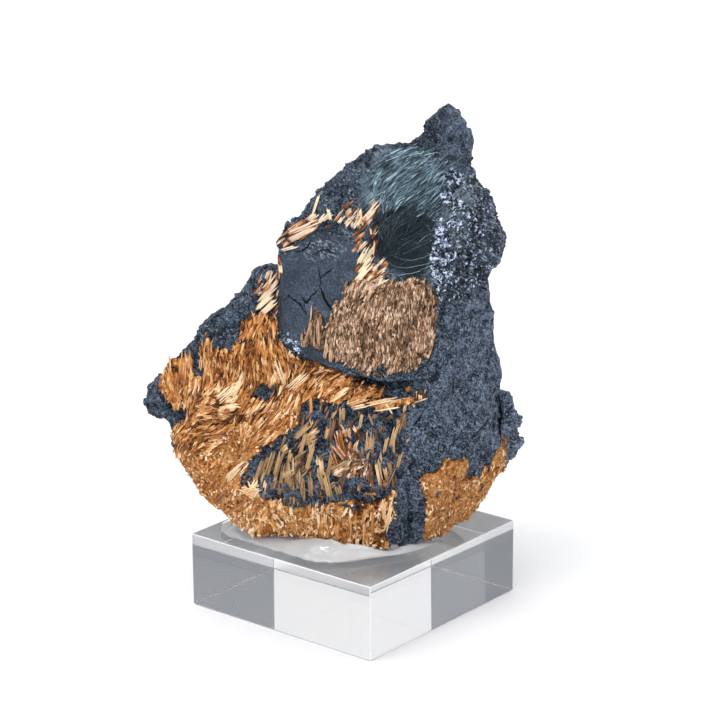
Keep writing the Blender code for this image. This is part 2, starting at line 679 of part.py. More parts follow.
def grown(stone, rutiles):
    """The specimen with a little room around it, to hollow the glue with."""
    shape = bmesh.new()
    for obj in rutiles:
        shape.from_mesh(obj.data)
    shape.normal_update()
    for vertex in shape.verts:
        vertex.co += vertex.normal * GAP * 1.7
    shape.from_mesh(stone.data)
    mesh = bpy.data.meshes.new("grown")
    shape.to_mesh(mesh)
    shape.free()
    body = as_helper(add_object("grown", mesh))
    remesh = body.modifiers.new("even", "REMESH")
    remesh.mode = "VOXEL"
    remesh.voxel_size = 0.5 * MM
    bpy.context.view_layer.update()
    mesh = evaluated_mesh(body)
    normals = [v.normal.copy() for v in mesh.vertices]
    for vertex, normal in zip(mesh.vertices, normals):
        vertex.co += normal * GAP * 2
    body.modifiers.clear()
    body.data = mesh
    thin = body.modifiers.new("thin", "DECIMATE")
    thin.ratio = HOLLOW_SHARE
    bpy.context.view_layer.update()
    return body


def acrylic_block():
    def build(shape):
        bmesh.ops.create_cube(shape, size=1.0)
        bmesh.ops.scale(shape, vec=(BASE_SIDE, BASE_SIDE, BASE_HEIGHT), verts=shape.verts)
        bmesh.ops.translate(shape, vec=(0, 0, BASE_HEIGHT / 2), verts=shape.verts)
        bmesh.ops.bevel(shape, geom=shape.edges[:], offset=BASE_BEVEL, segments=1, affect="EDGES", clamp_overlap=True)

    block = add_object("acrylic_base", mesh_from("acrylic_base", build))
    block.data.materials.append(material("clear_acrylic", (0.95, 0.97, 0.97), 0.03, transmission=1.0))
    return block


clear_scene()
stone = hematite()
adhesive(stone, rutile(stone))
acrylic_block()
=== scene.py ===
"""The looks of a rutile on hematite specimen, glued upright on a clear acrylic block.

The stone, its crusts and its needles are worked out in the specimen's own frame, with x across its best face, y
towards its back and z up. The finished meshes and the places in their finishes are turned on the block with it.
"""

import math
import random

import bmesh
import bpy
from mathutils import Matrix, Vector, noise
from mathutils.bvhtree import BVHTree


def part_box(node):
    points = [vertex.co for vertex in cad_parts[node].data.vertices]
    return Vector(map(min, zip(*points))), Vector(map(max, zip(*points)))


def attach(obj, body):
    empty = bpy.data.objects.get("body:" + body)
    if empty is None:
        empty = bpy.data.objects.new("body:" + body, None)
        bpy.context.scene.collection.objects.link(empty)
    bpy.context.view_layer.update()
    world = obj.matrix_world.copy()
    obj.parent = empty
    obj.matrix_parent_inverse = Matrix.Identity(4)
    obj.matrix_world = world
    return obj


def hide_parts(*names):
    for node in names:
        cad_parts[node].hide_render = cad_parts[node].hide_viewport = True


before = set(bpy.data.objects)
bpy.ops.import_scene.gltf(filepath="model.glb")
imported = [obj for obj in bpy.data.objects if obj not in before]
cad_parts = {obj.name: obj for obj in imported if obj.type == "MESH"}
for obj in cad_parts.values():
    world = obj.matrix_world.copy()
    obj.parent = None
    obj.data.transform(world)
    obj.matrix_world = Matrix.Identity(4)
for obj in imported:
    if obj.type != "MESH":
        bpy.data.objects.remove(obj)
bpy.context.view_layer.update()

bl_info = {
    "name": "Rutile on hematite",
    "version": (1, 0, 0),
    "blender": (4, 5, 0),
    "location": "3D View > Sidebar > Specimen",
    "description": "Dresses a rutile on hematite specimen on its acrylic block",
    "category": "Object",
}

MM = 0.001
TURN = math.radians(39.45)  # how far the specimen is turned on its block
NOISE_SEED = 3  # mathutils seeds its noise by the clock unless it is given a seed

WELD = 0.001 * MM
SKIN_VOXEL = 0.375 * MM
GLUE_VOXEL = 0.45 * MM
BLOCK_BEVEL = 0.11 * MM
FLOOR_GAP = 0.1 * MM  # between the floor and the block, which is clear
OUTSIDE = 0.08  # metres from the middle plane to where rays at the specimen start

# In millimetres.
SKIN_SWELL = 0.18  # closes the gaps between the solids before they become one skin
SUNK_UNDER_LATHS = 0.06
SUNK_UNDER_BEDS = 0.32
BED_TUCK = 0.35  # how deep a bed's edge goes into the stone
LATH_FIBRE = 0.2
GLUE_WAVE, GLUE_WAVE_SIZE = 0.42, 2.6

FACING = -0.15  # a growth covers the stone whose normal points to its side by more than this
STEEPEST = 0.22  # needles are rooted where the normal points to their side by at least this
LONGEST_BRIDGE = 1.45  # a lath that bridges a step and gets longer than this many times its drawn length is left out

# Where something grows, as outlines in x and z in millimetres, seen from the front (-1) or the back (1). The regions
# up to "back" have rutile, "hollow" and "well" have the hematite's fibres, and the others have its crystals.
REGIONS = {
    "mass": (-1, (
        (-31.5, 37.5), (-31, 41.5), (-29, 42.6), (-27, 41.8), (-26.8, 43.6), (-25.8, 43.4), (-25.6, 40.5),
        (-24.6, 39.6), (-23.5, 41.2), (-24.4, 43), (-24.8, 45.5), (-23, 47.7), (-22.2, 45.6), (-19.5, 45.4),
        (-18, 46.8), (-16.8, 50.4), (-14.5, 50.7), (-12, 50.7), (-11.5, 47), (-10, 45), (-5.5, 44.4), (-1, 42.6),
        (1, 41), (1, 39.4), (-1, 38.4), (-3.5, 37.8), (-7.2, 39), (-8.6, 35.6), (-10.3, 33.4), (-13.5, 30.9),
        (-16, 29), (-18, 25.2), (-18.6, 22.5), (-18, 15), (-23, 14.5), (-26, 19), (-30, 27), (-29, 30.6),
        (-26.6, 32.8), (-26.8, 35), (-28.3, 33.4), (-29.8, 35.2),
    )),
    "seam": (-1, (
        (1, 42), (3.5, 40.7), (7, 40.2), (11.6, 40.6), (11, 39), (9, 38), (7, 38), (4.5, 37), (3, 38), (-1, 38.6),
    )),
    "foot": (-1, (
        (-20, 23), (-18.2, 24.6), (-14.5, 22.6), (-10, 21.2), (-6.5, 20.8), (-3, 22.4), (4.5, 22.4), (6.8, 25),
        (6.8, 21), (6.3, 18.5), (4.8, 16.2), (6.8, 12), (-22, 12),
    )),
    "cluster": (-1, (
        (-3.6, 26.4), (-1.2, 30), (-2.2, 33.5), (0, 35.2), (1, 33.5), (0, 31), (2, 30.6), (3.2, 31.6), (3.2, 26.4),
        (2, 25.9), (-0.5, 26.9),
    )),
    "mat": (-1, (
        (-3.6, 52), (-2.2, 54.6), (-0.5, 57.5), (2, 58.3), (5, 58.6), (9.5, 58.1), (12.6, 57), (13.6, 53.5),
        (13.1, 48.5), (12, 45.1), (9, 44.4), (5.5, 43.6), (2, 43.5), (-1.5, 45), (-4, 45.6), (-4.5, 48),
    )),
    "fan": (-1, (
        (-17.5, 25), (-15.5, 28), (-11.5, 31.4), (-9, 34), (-7, 38), (-2, 37.6), (3, 37), (9, 37.5), (9, 30),
        (7, 25.5), (4.5, 22.5), (-3, 22.5), (-7, 21), (-10, 21.5), (-14.5, 23),
    )),
    "spray": (-1, ((-8, 47.8), (-7, 50.4), (-5.6, 54.4), (-4.6, 51.6), (-4, 47.4), (-6, 47))),
    "vein": (-1, (
        (4.1, 68.7), (1.9, 68.7), (0.9, 67), (1.4, 65), (0.2, 63), (1.8, 62.2), (0.5, 59.6), (1.8, 59), (0, 57),
        (2.5, 57.3), (5.3, 59.2), (3.6, 61.8), (4.2, 64.5), (3.6, 66.5),
    )),
    "across": (-1, (
        (-5.6, 66.2), (-4.6, 68.6), (-2.4, 68.6), (-0.6, 69.2), (1, 69.3), (1, 67.4), (-2, 66), (-4, 65.8),
    )),
    "corner": (-1, ((-11.5, 62.6), (-11, 64.6), (-8, 66), (-6, 67.4), (-5, 66.2), (-7.4, 64.4))),
    "side": (-1, ((-15.2, 56.4), (-13.5, 58.6), (-11.2, 61), (-11.6, 55.5), (-12, 50.6), (-14.4, 51), (-15.2, 53))),
    "right": (-1, (
        (10.5, 25), (13, 26.6), (14.8, 28.6), (18.5, 27.4), (18.2, 23.6), (20.5, 23.2), (20.8, 24.8), (22.5, 24.6),
        (23.4, 27.2), (25.3, 27), (25.4, 21.5), (23.5, 18), (18, 12.5), (11.5, 12), (11.4, 18), (12, 21),
    )),
    "back": (1, ((-14, 38), (-7, 44), (1, 42), (5, 36), (3, 30), (8, 25), (4, 20), (-4, 22), (-9, 27), (-15, 30))),
    "hollow": (-1, (
        (3.2, 67.4), (2.6, 70), (3.4, 73), (5.2, 75.6), (8, 76.8), (11.5, 76.2), (15, 74.4), (16.4, 72), (15, 69),
        (13.6, 66.4), (11, 66.6), (9.6, 68.2), (7.6, 68.2), (5, 67),
    )),
    "well": (-1, (
        (4.4, 61), (3.6, 64), (3.2, 67), (5, 66.3), (7.6, 67.6), (9.6, 67.6), (10.9, 66), (13.2, 65.6), (13, 63.6),
        (11, 61.4), (9.4, 60.4), (7, 59.4),
    )),
    "crystals": (-1, (
        (15.2, 73), (18.5, 73), (20.5, 70), (23.4, 66), (24, 62), (22, 57), (18.5, 54), (14.5, 53.5), (12.6, 58),
        (12.8, 61.5), (13.8, 66),
    )),
    "facets": (-1, (
        (12.6, 57.5), (12.6, 61), (13.8, 65), (15, 71), (17.6, 72), (18, 68), (16.8, 63), (15.6, 58.5), (14, 56),
    )),
    "ear": (-1, ((24.8, 35), (26, 37.5), (28.5, 34), (29, 30), (28, 26.5), (26.5, 25), (25, 27.5), (24.9, 31))),
    "rim": (-1, ((-12.6, 48.6), (-10.4, 49.4), (-8, 47.6), (-7, 45.6), (-9.4, 45.4), (-11.6, 46.4))),
}

# The regions that leave the stone under them as it is.
ON_STONE = ("fan", "hollow", "well", "crystals", "facets", "ear", "rim")

# The regions whose laths grow on the stone itself, a little sunk into it.
BEDLESS = ("cluster", "vein", "across", "corner", "side")

# Where a region stays free of rutile, as ellipses: x, z, half width, half height and slant in degrees.
ISLANDS = {
    "mass": ((-14.3, 38.4, 2.1, 1.1, 18), (-14.7, 44.6, 0.6, 0.9, 0), (-24.1, 40.6, 0.9, 0.8, 20)),
    "seam": ((7.4, 39.6, 3.6, 0.7, 0),),
    "foot": ((-0.6, 21.4, 2.6, 0.55, -6),),
    "mat": ((11.6, 45.6, 1.2, 0.6, 20), (4.4, 44.4, 1.3, 0.5, 0)),
    "right": ((17.2, 20.6, 0.6, 0.5, 0), (13.6, 22.6, 0.5, 0.5, 0)),
    "back": (
        (-13.4, 34.6, 2.6, 1.5, 35), (3.6, 34, 2.6, 1.3, -30), (-3.2, 24, 1.8, 1.0, 15), (-10.5, 41.2, 2.4, 1.0, 40),
        (-1.2, 39.6, 0.8, 0.5, 60), (5.6, 27.2, 1.4, 0.9, 20),
    ),
}


class Growth:
    """How a region grows.

    The share is of the density in the settings. Lengths are in millimetres, and the spread about the grain and the
    lifts off the stone are in degrees. A bundle is the least and the most needles side by side. Crumbs is how many
    bundles turn into grains where the mass is granular, pockets stay bare where the noise is below their value, and
    fine is a share of the width in the settings.
    """

    def __init__(self, share, lengths, spread, lifts, tones, seed, bundle=(2, 5), crumbs=0.0, pockets=-0.3, fine=1.0):
        self.share = share
        self.lengths = lengths
        self.spread = spread
        self.lifts = lifts
        self.tones = tones
        self.seed = seed
        self.bundle = bundle
        self.crumbs = crumbs
        self.pockets = pockets
        self.fine = fine


GROWTHS = {
    "mass": Growth(1.0, (1.2, 3.2), 11, (0, 9), (0.12, 0.9), 1, (2, 4), crumbs=1.0),
    "seam": Growth(1.2, (0.8, 2.2), 22, (0, 18), (0.15, 0.95), 2),
    "foot": Growth(0.9, (0.8, 2.4), 16, (0, 14), (0.3, 1.1), 3, (1, 4), crumbs=0.5),
    "fan": Growth(0.22, (0.8, 2.2), 18, (0, 8), (-0.1, 0.5), 6, (1, 3), pockets=0.0),
    "mat": Growth(1.3, (0.5, 1.4), 7, (2, 12), (0.15, 0.95), 4, (1, 3), fine=0.8),
    "spray": Growth(0.8, (0.7, 1.8), 5, (2, 10), (0.2, 0.75), 5, (1, 3), fine=0.8),
    "vein": Growth(0.55, (1.2, 2.6), 7, (2, 9), (0.0, 0.9), 20, pockets=-0.16),
    "across": Growth(0.15, (1.2, 2.6), 7, (2, 9), (0.0, 0.9), 20, pockets=-0.16),
    "corner": Growth(0.55, (1.2, 2.6), 7, (2, 9), (0.0, 0.9), 21, pockets=-0.16),
    "side": Growth(0.55, (1.2, 2.6), 7, (2, 9), (0.0, 0.9), 22, pockets=-0.16),
    "cluster": Growth(0.55, (1.2, 2.6), 7, (2, 9), (0.0, 0.9), 23, pockets=-0.16),
    "right": Growth(0.6, (0.4, 1.2), 35, (0, 30), (0.2, 1.0), 40, (1, 3)),
    "back": Growth(0.6, (0.4, 1.2), 35, (0, 30), (0.2, 1.0), 41, (1, 3)),
    "hollow": Growth(1.1, (1.6, 5.5), 8, (0, 2), (-0.1, 0.95), 51, (1, 3), pockets=-0.2, fine=0.36),
    "well": Growth(0.6, (1.0, 4.0), 10, (0, 2), (-0.3, 0.4), 52, (1, 2), pockets=-0.2, fine=0.36),
    "crystals": Growth(0.9, (0.3, 0.75), 70, (0, 55), (-0.4, 0.95), 53, (1, 2), pockets=-0.1, fine=1.7),
    "facets": Growth(0.9, (0.4, 0.95), 60, (0, 50), (0.1, 1.5), 56, (1, 3), pockets=0.0, fine=2.0),
    "ear": Growth(0.5, (0.25, 0.6), 70, (0, 40), (-0.35, 0.85), 54, (1, 2), pockets=0.0, fine=1.5),
    "rim": Growth(0.7, (0.25, 0.6), 70, (0, 40), (-0.35, 1.0), 55, (1, 2), pockets=-0.1, fine=1.4),
}

# The pieces of coarse laths, with their slots and regions. Each one hides the node with its name.
VEINS = {
    "upper_vein": ("rutile_cream", ("vein", "across")),
    "corner_vein": ("rutile_cream", ("corner",)),
    "side_vein": ("rutile_cream", ("side",)),
    "cluster": ("rutile_orange", ("cluster",)),
}

# Where the crumbs are pale, as x, z and radius.
PALE = ((-23.5, 30.3, 2.3), (-17, 34.9, 2.5), (-20.5, 27.6, 1.4))

# Which way the needles run: x, z and the angle in degrees from the x axis.
GRAIN = (
    (-29, 38, 95), (-30.5, 36, 115), (-28, 36, 60), (-26.5, 41, 88), (-24.5, 45, 110), (-22, 41, 92), (-20, 43, 80),
    (-17, 45, 75), (-15.5, 48, 70), (-13, 49, 105), (-14, 44, 98), (-11, 43, 108), (-9.5, 45, 125), (-9, 41, 75),
    (-7, 42, 50), (-4.5, 42, 40), (-1, 41, 45), (3, 40, 35), (8, 39, 80), (-21, 38, 50), (-21.5, 35.8, 5),
    (-17, 35, 60), (-23, 31, 20), (-19, 30, 120), (-22, 26, 60), (-15, 32, 45), (-9, 37, 78), (-18, 27, 48),
    (-20, 21, 55), (-16, 18, 70), (-12, 18, 100), (-8, 17, 70), (-4, 18, 95), (0, 18, 88), (4, 19, 78), (6, 23, 70),
    (2.5, 28, 80), (-1.5, 28.6, 35), (-0.6, 33, 110), (4, 48, 91), (8, 54, 88), (12, 50, 92), (0, 48, 88), (1, 56, 72),
    (-6, 50, 84), (2, 64, 48), (2.6, 60, 44), (2.8, 67, 55), (-2, 67.5, 50), (-8.5, 64.6, 30), (-13.5, 52.5, 52),
    (-13, 56, 70), (-12.2, 59, 100), (12.5, 18, 85), (16, 20, 110), (21, 21, 60), (14, 25, 95), (-10, 33, 40),
    (0, 30, 130), (-5, 38, 80), (4, 24, 100), (5, 75.5, 30), (8, 72, 37), (12, 74.5, 33), (14.5, 70, 50), (10, 69, 40),
    (6, 64, 55), (10, 63, 28),
)

# The bigger laths of each piece, made of fibres side by side: x and z of the root and of the tip, the width, and the
# tone from red-brown (0) over orange (0.33) and gold (0.66) to cream (1).
LATHS = {
    "mass": (
        (-27, 39.6, -26.5, 43.8, 1.3, 0.7), (-27.7, 39.8, -27.1, 42.6, 0.7, 0.6), (-24.5, 41, -24, 43.6, 0.5, 0.68),
        (-23, 43.6, -22, 46.6, 0.35, 0.8), (-29, 37.7, -31, 39.5, 0.9, 0.4), (-29, 38, -29.6, 41.4, 0.9, 0.42),
        (-28.8, 38, -28.1, 40.6, 0.8, 0.38), (-28.6, 37.5, -27, 38.5, 0.7, 0.36), (-28.9, 37, -28.5, 34, 0.8, 0.42),
        (-29.2, 37, -30.1, 35.3, 0.8, 0.4), (-28.6, 37, -27.4, 35.8, 0.7, 0.34), (-21, 37.4, -18.5, 39, 0.6, 0.95),
        (-21, 36.4, -18.3, 35.8, 0.7, 0.98), (-18.6, 38.8, -17.4, 41.6, 0.35, 0.98),
        (-22.5, 39, -22.6, 41.2, 0.3, 0.8), (-19.6, 36.4, -18.4, 38.1, 0.5, 0.95), (-20.6, 36.8, -18.7, 37.4, 0.6, 1),
        (-22, 37.2, -20, 38.2, 0.5, 0.85), (-10.4, 39.6, -11.5, 43.8, 0.45, 0.95), (-10.5, 39, -6.9, 42.5, 0.55, 0.95),
        (-9.6, 39.2, -6.3, 42, 0.5, 0.85), (-8.5, 41.6, -7, 44.6, 0.3, 0.6), (-9, 36.2, -8, 39.8, 0.5, 0.5),
        (-6.5, 35.8, -6.5, 39.4, 0.4, 0.62), (-20.2, 24, -16.4, 28.3, 1.2, 0.97), (-19.5, 23.2, -17, 26.7, 0.6, 0.72),
        (-15, 22.8, -18, 24.2, 0.6, 0.95), (-15.5, 22.8, -15.5, 26.1, 0.55, 0.92), (-16, 22, -17.6, 24.6, 0.6, 1),
        (-14.5, 23.3, -14, 25.7, 0.5, 0.85), (-15.2, 23.2, -16.6, 25.5, 0.6, 0.98), (-23, 19.3, -20, 24.6, 0.5, 0.45),
        (-22.5, 18.8, -19.5, 23.7, 0.45, 0.35), (-21.6, 19, -18.6, 23, 0.5, 0.5), (-24, 21, -20.8, 26, 0.45, 0.4),
        (-20.6, 18, -17.2, 21.6, 0.5, 0.42), (-1.1, 37.9, 2.1, 39.2, 0.5, 0.85), (-0.1, 37.4, 3.1, 38.2, 0.45, 0.95),
        (1.9, 37.9, 6.6, 39.2, 0.45, 0.9), (2.9, 36.9, 7.1, 38.2, 0.4, 0.98), (5.4, 38.4, 10.2, 39.2, 0.4, 0.9),
        (-3.6, 38.3, -0.9, 40.2, 0.5, 0.8), (-5.6, 38.8, -3.4, 40.8, 0.5, 0.95), (-7.1, 39.8, -4.9, 41.7, 0.5, 0.9),
        (-2.6, 39.3, -0.4, 40.8, 0.4, 0.95), (6.5, 36.3, 5.4, 38.3, 0.4, 0.98), (8, 36.8, 8, 38.7, 0.35, 0.8),
        (9.5, 38.4, 11.8, 39.6, 0.35, 0.8), (-21.5, 35.6, -18.2, 36.6, 0.9, 1.05), (-20.8, 37.9, -18, 39.9, 0.8, 1),
        (-19.4, 37.2, -17.6, 40.6, 0.6, 1.05), (-21.8, 36.8, -19.2, 38.9, 0.8, 1), (-17.6, 23.2, -14.6, 24.4, 0.8, 1),
        (-16.8, 22.6, -15.2, 25.6, 0.9, 1.05), (-15.6, 22.4, -14.4, 24.8, 0.7, 1), (-20.6, 23.6, -17, 27.8, 0.8, 1.02),
        (5, 16.2, 6.5, 24.3, 0.45, 0.97), (5, 18.6, 5, 23.9, 0.4, 0.9), (-6.7, 18.4, -6.5, 21.6, 0.35, 0.9),
        (-6, 19.4, -5.9, 22.8, 0.4, 0.8), (-5.4, 17.6, -5.4, 20.6, 0.4, 0.95), (-5, 19.6, -4.9, 22.9, 0.4, 0.85),
        (-4.4, 18, -4.2, 20.8, 0.35, 0.9), (-4, 19.8, -3.6, 22.6, 0.35, 0.75), (-7.2, 19.8, -7, 22.4, 0.3, 0.7),
        (-2.6, 14.6, -2.4, 19, 0.4, 0.6), (-0.6, 15, -0.6, 19.6, 0.4, 0.5), (1.6, 14.6, 1.8, 19.2, 0.4, 0.62),
        (3.2, 15, 3.2, 20.6, 0.4, 0.55), (-9, 15.6, -10.4, 19.4, 0.4, 0.55), (-12, 16, -14, 19, 0.4, 0.6),
    ),
    "fan": (
        (-14, 25.6, -12.4, 30.3, 0.6, 0.5), (-12.6, 25.6, -11, 30.7, 0.7, 0.56), (-11, 22.6, -10, 29.3, 0.6, 0.56),
        (-10.2, 20.8, -10, 28.9, 0.8, 0.66), (-9.1, 20.8, -9.1, 28.9, 0.9, 0.72), (-8.1, 21.8, -8.5, 27.2, 0.7, 0.62),
        (-7.6, 26.6, -6, 31.8, 0.6, 0.7), (-6.5, 29, -7, 32.4, 0.3, 0.7), (-5, 26.2, -5.5, 29.9, 0.9, 0.8),
        (-6, 32, -6.6, 36.2, 0.35, 0.7), (-8.6, 29, -7.4, 32.9, 0.5, 0.48), (-16.2, 24, -14.2, 28.7, 0.5, 0.46),
        (-15.2, 25.4, -13.2, 29.5, 0.5, 0.44), (-12, 22.6, -11, 28, 0.6, 0.5), (-6.8, 22.6, -6.8, 27, 0.6, 0.6),
        (-3.6, 22.8, -4.4, 26.8, 0.8, 0.74), (-4.4, 24, -5.6, 27.7, 0.6, 0.6), (2, 26, 3, 33.3, 1.1, 0.6),
        (1.4, 26.2, 2.5, 30.9, 0.5, 0.7), (4, 26.6, 4.5, 30.4, 0.6, 0.74), (6.5, 29.8, 6.5, 32.9, 0.3, 0.7),
        (7, 27.6, 7.6, 30.3, 0.4, 0.7), (5.5, 25.6, 5, 28.3, 0.5, 0.78), (1, 33.6, 1.6, 36.9, 0.4, 0.66),
        (-11.4, 30.6, -10.4, 33.4, 0.35, 0.5), (-2.2, 34.6, -1.4, 37.2, 0.3, 0.5), (3.4, 34.2, 2.6, 36.4, 0.3, 0.5),
    ),
    "cluster": (
        (-1.6, 30.6, -2.2, 33.8, 0.9, 0.38), (-0.5, 30.6, -0.5, 33.7, 0.6, 0.5), (-3.6, 26.8, 2.1, 29.6, 0.6, 0.97),
        (-3, 26.3, 1.6, 28.7, 0.55, 0.9), (-1.6, 27.7, 0.6, 30.8, 0.5, 0.85), (-1, 29.4, -3, 31.6, 0.7, 0.4),
        (-0.2, 29.4, 0.6, 32.4, 0.5, 0.55), (-2.4, 28, -3.2, 31, 0.5, 0.42),
    ),
    "upper_vein": (
        (1.4, 57.2, 5.1, 61.1, 0.8, 1), (1.9, 56.8, 6, 58.7, 0.8, 1), (1.9, 60.2, 3.6, 62.8, 0.7, 0.95),
        (0.9, 62.2, 4.1, 64.8, 0.8, 1), (0.9, 64.2, 3.6, 67.7, 0.7, 0.8), (0.9, 65.8, 4.5, 68.8, 0.7, 0.85),
        (0.9, 60.2, 2.6, 62.8, 0.6, 0.95), (0.4, 57.4, 3.4, 60.7, 0.7, 0.95), (1, 58.8, 3.4, 61.4, 0.5, 0.9),
        (1.6, 63.4, 4.2, 66, 0.6, 0.7), (-1.1, 65.8, 1.1, 68.3, 0.6, 0.95), (-2.1, 66.3, -0.9, 67.9, 0.5, 0.95),
        (-3.2, 66.8, -3.6, 68.8, 0.4, 0.9), (-0.1, 65.7, 1.7, 67.4, 0.6, 0.95), (-4.6, 66.8, -2.9, 68.3, 0.45, 0.9),
        (-5.2, 66.3, -3.9, 67.8, 0.5, 0.9),
    ),
    "corner_vein": (
        (-10.2, 63.3, -5.3, 65.8, 0.7, 0.72), (-10.1, 64.5, -5.3, 66.8, 0.55, 0.75),
        (-11.2, 61.9, -8.4, 62.7, 0.35, 0.75), (-6.1, 67.3, -5, 70.2, 0.3, 0.85),
    ),
    "side_vein": (
        (-15.6, 51.3, -11.9, 54.8, 0.6, 1), (-15.1, 52.3, -11.9, 56.3, 0.6, 0.9), (-14.6, 50.8, -11.9, 53.3, 0.7, 1),
        (-15.1, 53.8, -12.3, 57.3, 0.5, 0.85), (-14.1, 54.8, -11.9, 58.4, 0.5, 0.8),
        (-13.2, 55.8, -12.3, 59.2, 0.5, 0.6),
    ),
    "mat": (
        (-7.4, 47.6, -6.2, 51.6, 0.5, 0.6), (-6.4, 47.8, -5.8, 53.8, 0.5, 0.62), (-5.2, 47.6, -5.4, 52.6, 0.5, 0.7),
        (-4.4, 45.4, -3.9, 48.6, 0.6, 0.74), (-3.4, 44.9, -3.1, 48, 0.5, 0.66),
    ),
}

# The cracks in the hematite, as lines in x and z in millimetres with their widths at the middle.
CRACKS = (
    (0.36, ((-10.2, 55.2), (-9.2, 54.5), (-8.4, 54), (-7.6, 53.1), (-6.9, 52.3))),
    (0.38, ((-8, 55.2), (-7.4, 54.4), (-7, 54.1), (-6.5, 55), (-5.4, 56.1))),
    (0.42, ((-5.2, 57), (-4.6, 55.8), (-4.3, 54.9), (-3.7, 53.9), (-3, 52.9))),
    (0.26, ((-5.3, 59.8), (-5.1, 59), (-4.9, 58), (-4.8, 56.9))),
    (0.22, ((-4.9, 58), (-4.2, 58.6), (-3.4, 59.2), (-2.8, 59.7))),
    (0.32, ((-8.8, 61.8), (-7.8, 62.1), (-7, 62.6), (-6.4, 63.8))),
    (0.26, ((-5.7, 61.6), (-4.8, 62.3), (-3.8, 62.4), (-2.8, 61.9))),
    (0.14, ((-11.6, 53.6), (-10.8, 54.2), (-10, 55), (-9.4, 55.9))),
    (0.12, ((1.6, 58.8), (0.4, 58.2), (-0.8, 57.4), (-1.8, 56.4))),
    (0.12, ((-7.4, 54.4), (-7.5, 53.8), (-7.2, 52.9))),
    (0.4, ((15.9, 42.3), (16.1, 41.2), (16, 40.2), (16.2, 39.4))),
    (0.36, ((18.9, 30.9), (19.7, 31.3), (20.5, 32.1), (21.5, 32.5), (22.5, 33.2))),
    (0.28, ((15.4, 30.4), (16, 30.8), (16.5, 31.4), (17.6, 32.1))),
    (0.26, ((14, 32.6), (14.6, 31.6), (14.5, 30), (13.6, 30.4), (13.9, 32))),
    (0.46, ((23.9, 35.4), (24.3, 33.4), (24.4, 31.5), (24.2, 29), (24.1, 27))),
    (0.24, ((9.6, 34.6), (10.6, 35.4), (11.2, 36.6))),
    (0.14, ((12.6, 24.4), (12.1, 26), (12.4, 27.6))),
)

# Where the stone is flatter than its broken rest: x, z, half width, half height, how far it reaches, how fast it
# fades, its most, and the depth in front of which it holds, in millimetres.
FLATS = (
    (-3, 54, 9.5, 11.5, 1.6, 1.0, 1.0, -5), (9, 66, 8, 8.5, 2.0, 1.3, 1.0, -5), (16, 38, 8, 15, 1.6, 1.2, 0.55, 0),
    (26.8, 31, 3, 6, 1.6, 1.1, 0.7, 0),
)

# Where glints are painted on small grains: x, z, half width and half height in millimetres, and how bright.
GLINT_SPOTS = (
    (-10.2, 47.2, 2.8, 1.1, 1.0), (13.6, 55.8, 1.5, 2.6, 1.0), (6, 77, 2.4, 1.2, 0.5), (12.6, 75.2, 3, 1.6, 0.5),
    (-4.4, 62.2, 3.6, 1.8, 0.25),
)

# Where the stone is fuller, as x, z, radius and amount in millimetres.
SWELLS = ((17, 81, 5, 1.2), (18.5, 77, 4, 0.8), (28, 26, 6, 0.8), (25.5, 20, 4, 0.8), (22.4, 59.5, 2, 0.8))

# Grooves in the stone, under the ledge and beside the smooth face: half width, depth and line, in millimetres.
GROOVES = (
    (0.8, 1.0, ((-6.5, 43.6), (-4, 42.4), (-1.5, 42), (1, 41.8), (4, 41.2), (8, 41.3), (11.5, 41.9), (13.4, 43))),
    (0.5, 0.5, ((-12.7, 61.5), (-12.6, 57), (-12.9, 53), (-12.6, 49.5), (-11.6, 47), (-9.5, 45.6), (-6.5, 44.2))),
    (0.5, 0.7, ((23.7, 36), (24.1, 33.6), (24.3, 31.5), (24.1, 29), (24, 27.4))),
    (0.6, 0.5, ((14.2, 57), (14.4, 53), (14, 49), (13.4, 46), (13.2, 43.4))),
    (0.5, 0.6, ((8.8, 24.6), (9.3, 21), (9.6, 17.5), (9, 14.5))),
)

# Pale lines along the lower lip of the hollow face, given as the cracks are.
LIP_LINES = (
    (0.13, ((4.6, 60.2), (6, 59.1), (7.6, 58.7), (9.6, 58.8), (11.5, 59.2), (13.4, 59.8), (15, 60.7), (17.4, 63))),
    (0.1, ((5.2, 60.6), (7, 59.6), (8.6, 59.3), (10.4, 59.5), (12.2, 59.8), (15.3, 62))),
    (0.09, ((6, 61.2), (8, 60.4), (9.6, 60.2), (11.6, 60.6), (13.5, 61.6))),
    (0.08, ((9.4, 61.4), (11.6, 63.4), (14.2, 65.2))),
)


def quantity(name, text, default, **more):
    return bpy.props.FloatProperty(name=name, description=text, default=default, **more)


def sized(name, text, default):
    return quantity(name, text, default, unit="LENGTH", precision=5, min=0.0)


def share(name, text, default):
    return quantity(name, text, default, subtype="FACTOR", min=0.0, max=1.0)


def coloured(name, text, default):
    return bpy.props.FloatVectorProperty(
        name=name, description=text, default=default, size=3, subtype="COLOR", min=0.0, max=1.0
    )


class StoneSettings(bpy.types.PropertyGroup):
    # The dark tone also paints the shade in the stone's hollows and pits.
    dark: coloured("Dark", "Colour of the hematite in its hollows", (0.004, 0.010, 0.019))
    light: coloured("Light", "Colour of the hematite's fresh grains", (0.262, 0.350, 0.485))
    face: coloured("Face", "Colour of the smooth face", (0.018, 0.029, 0.046))
    teal: coloured("Teal", "Colour of the fibrous hollow face", (0.58, 0.80, 0.93))
    # The colour of the painted glints on the grains and of the brightest crystals.
    glint: coloured("Glint", "Colour of the glittering crystals", (0.74, 0.83, 1.0))
    relief: sized("Relief", "How far the broken stone stands out", 0.8 * MM)
    metal: share("Metal", "How metallic the hematite is", 0.35)


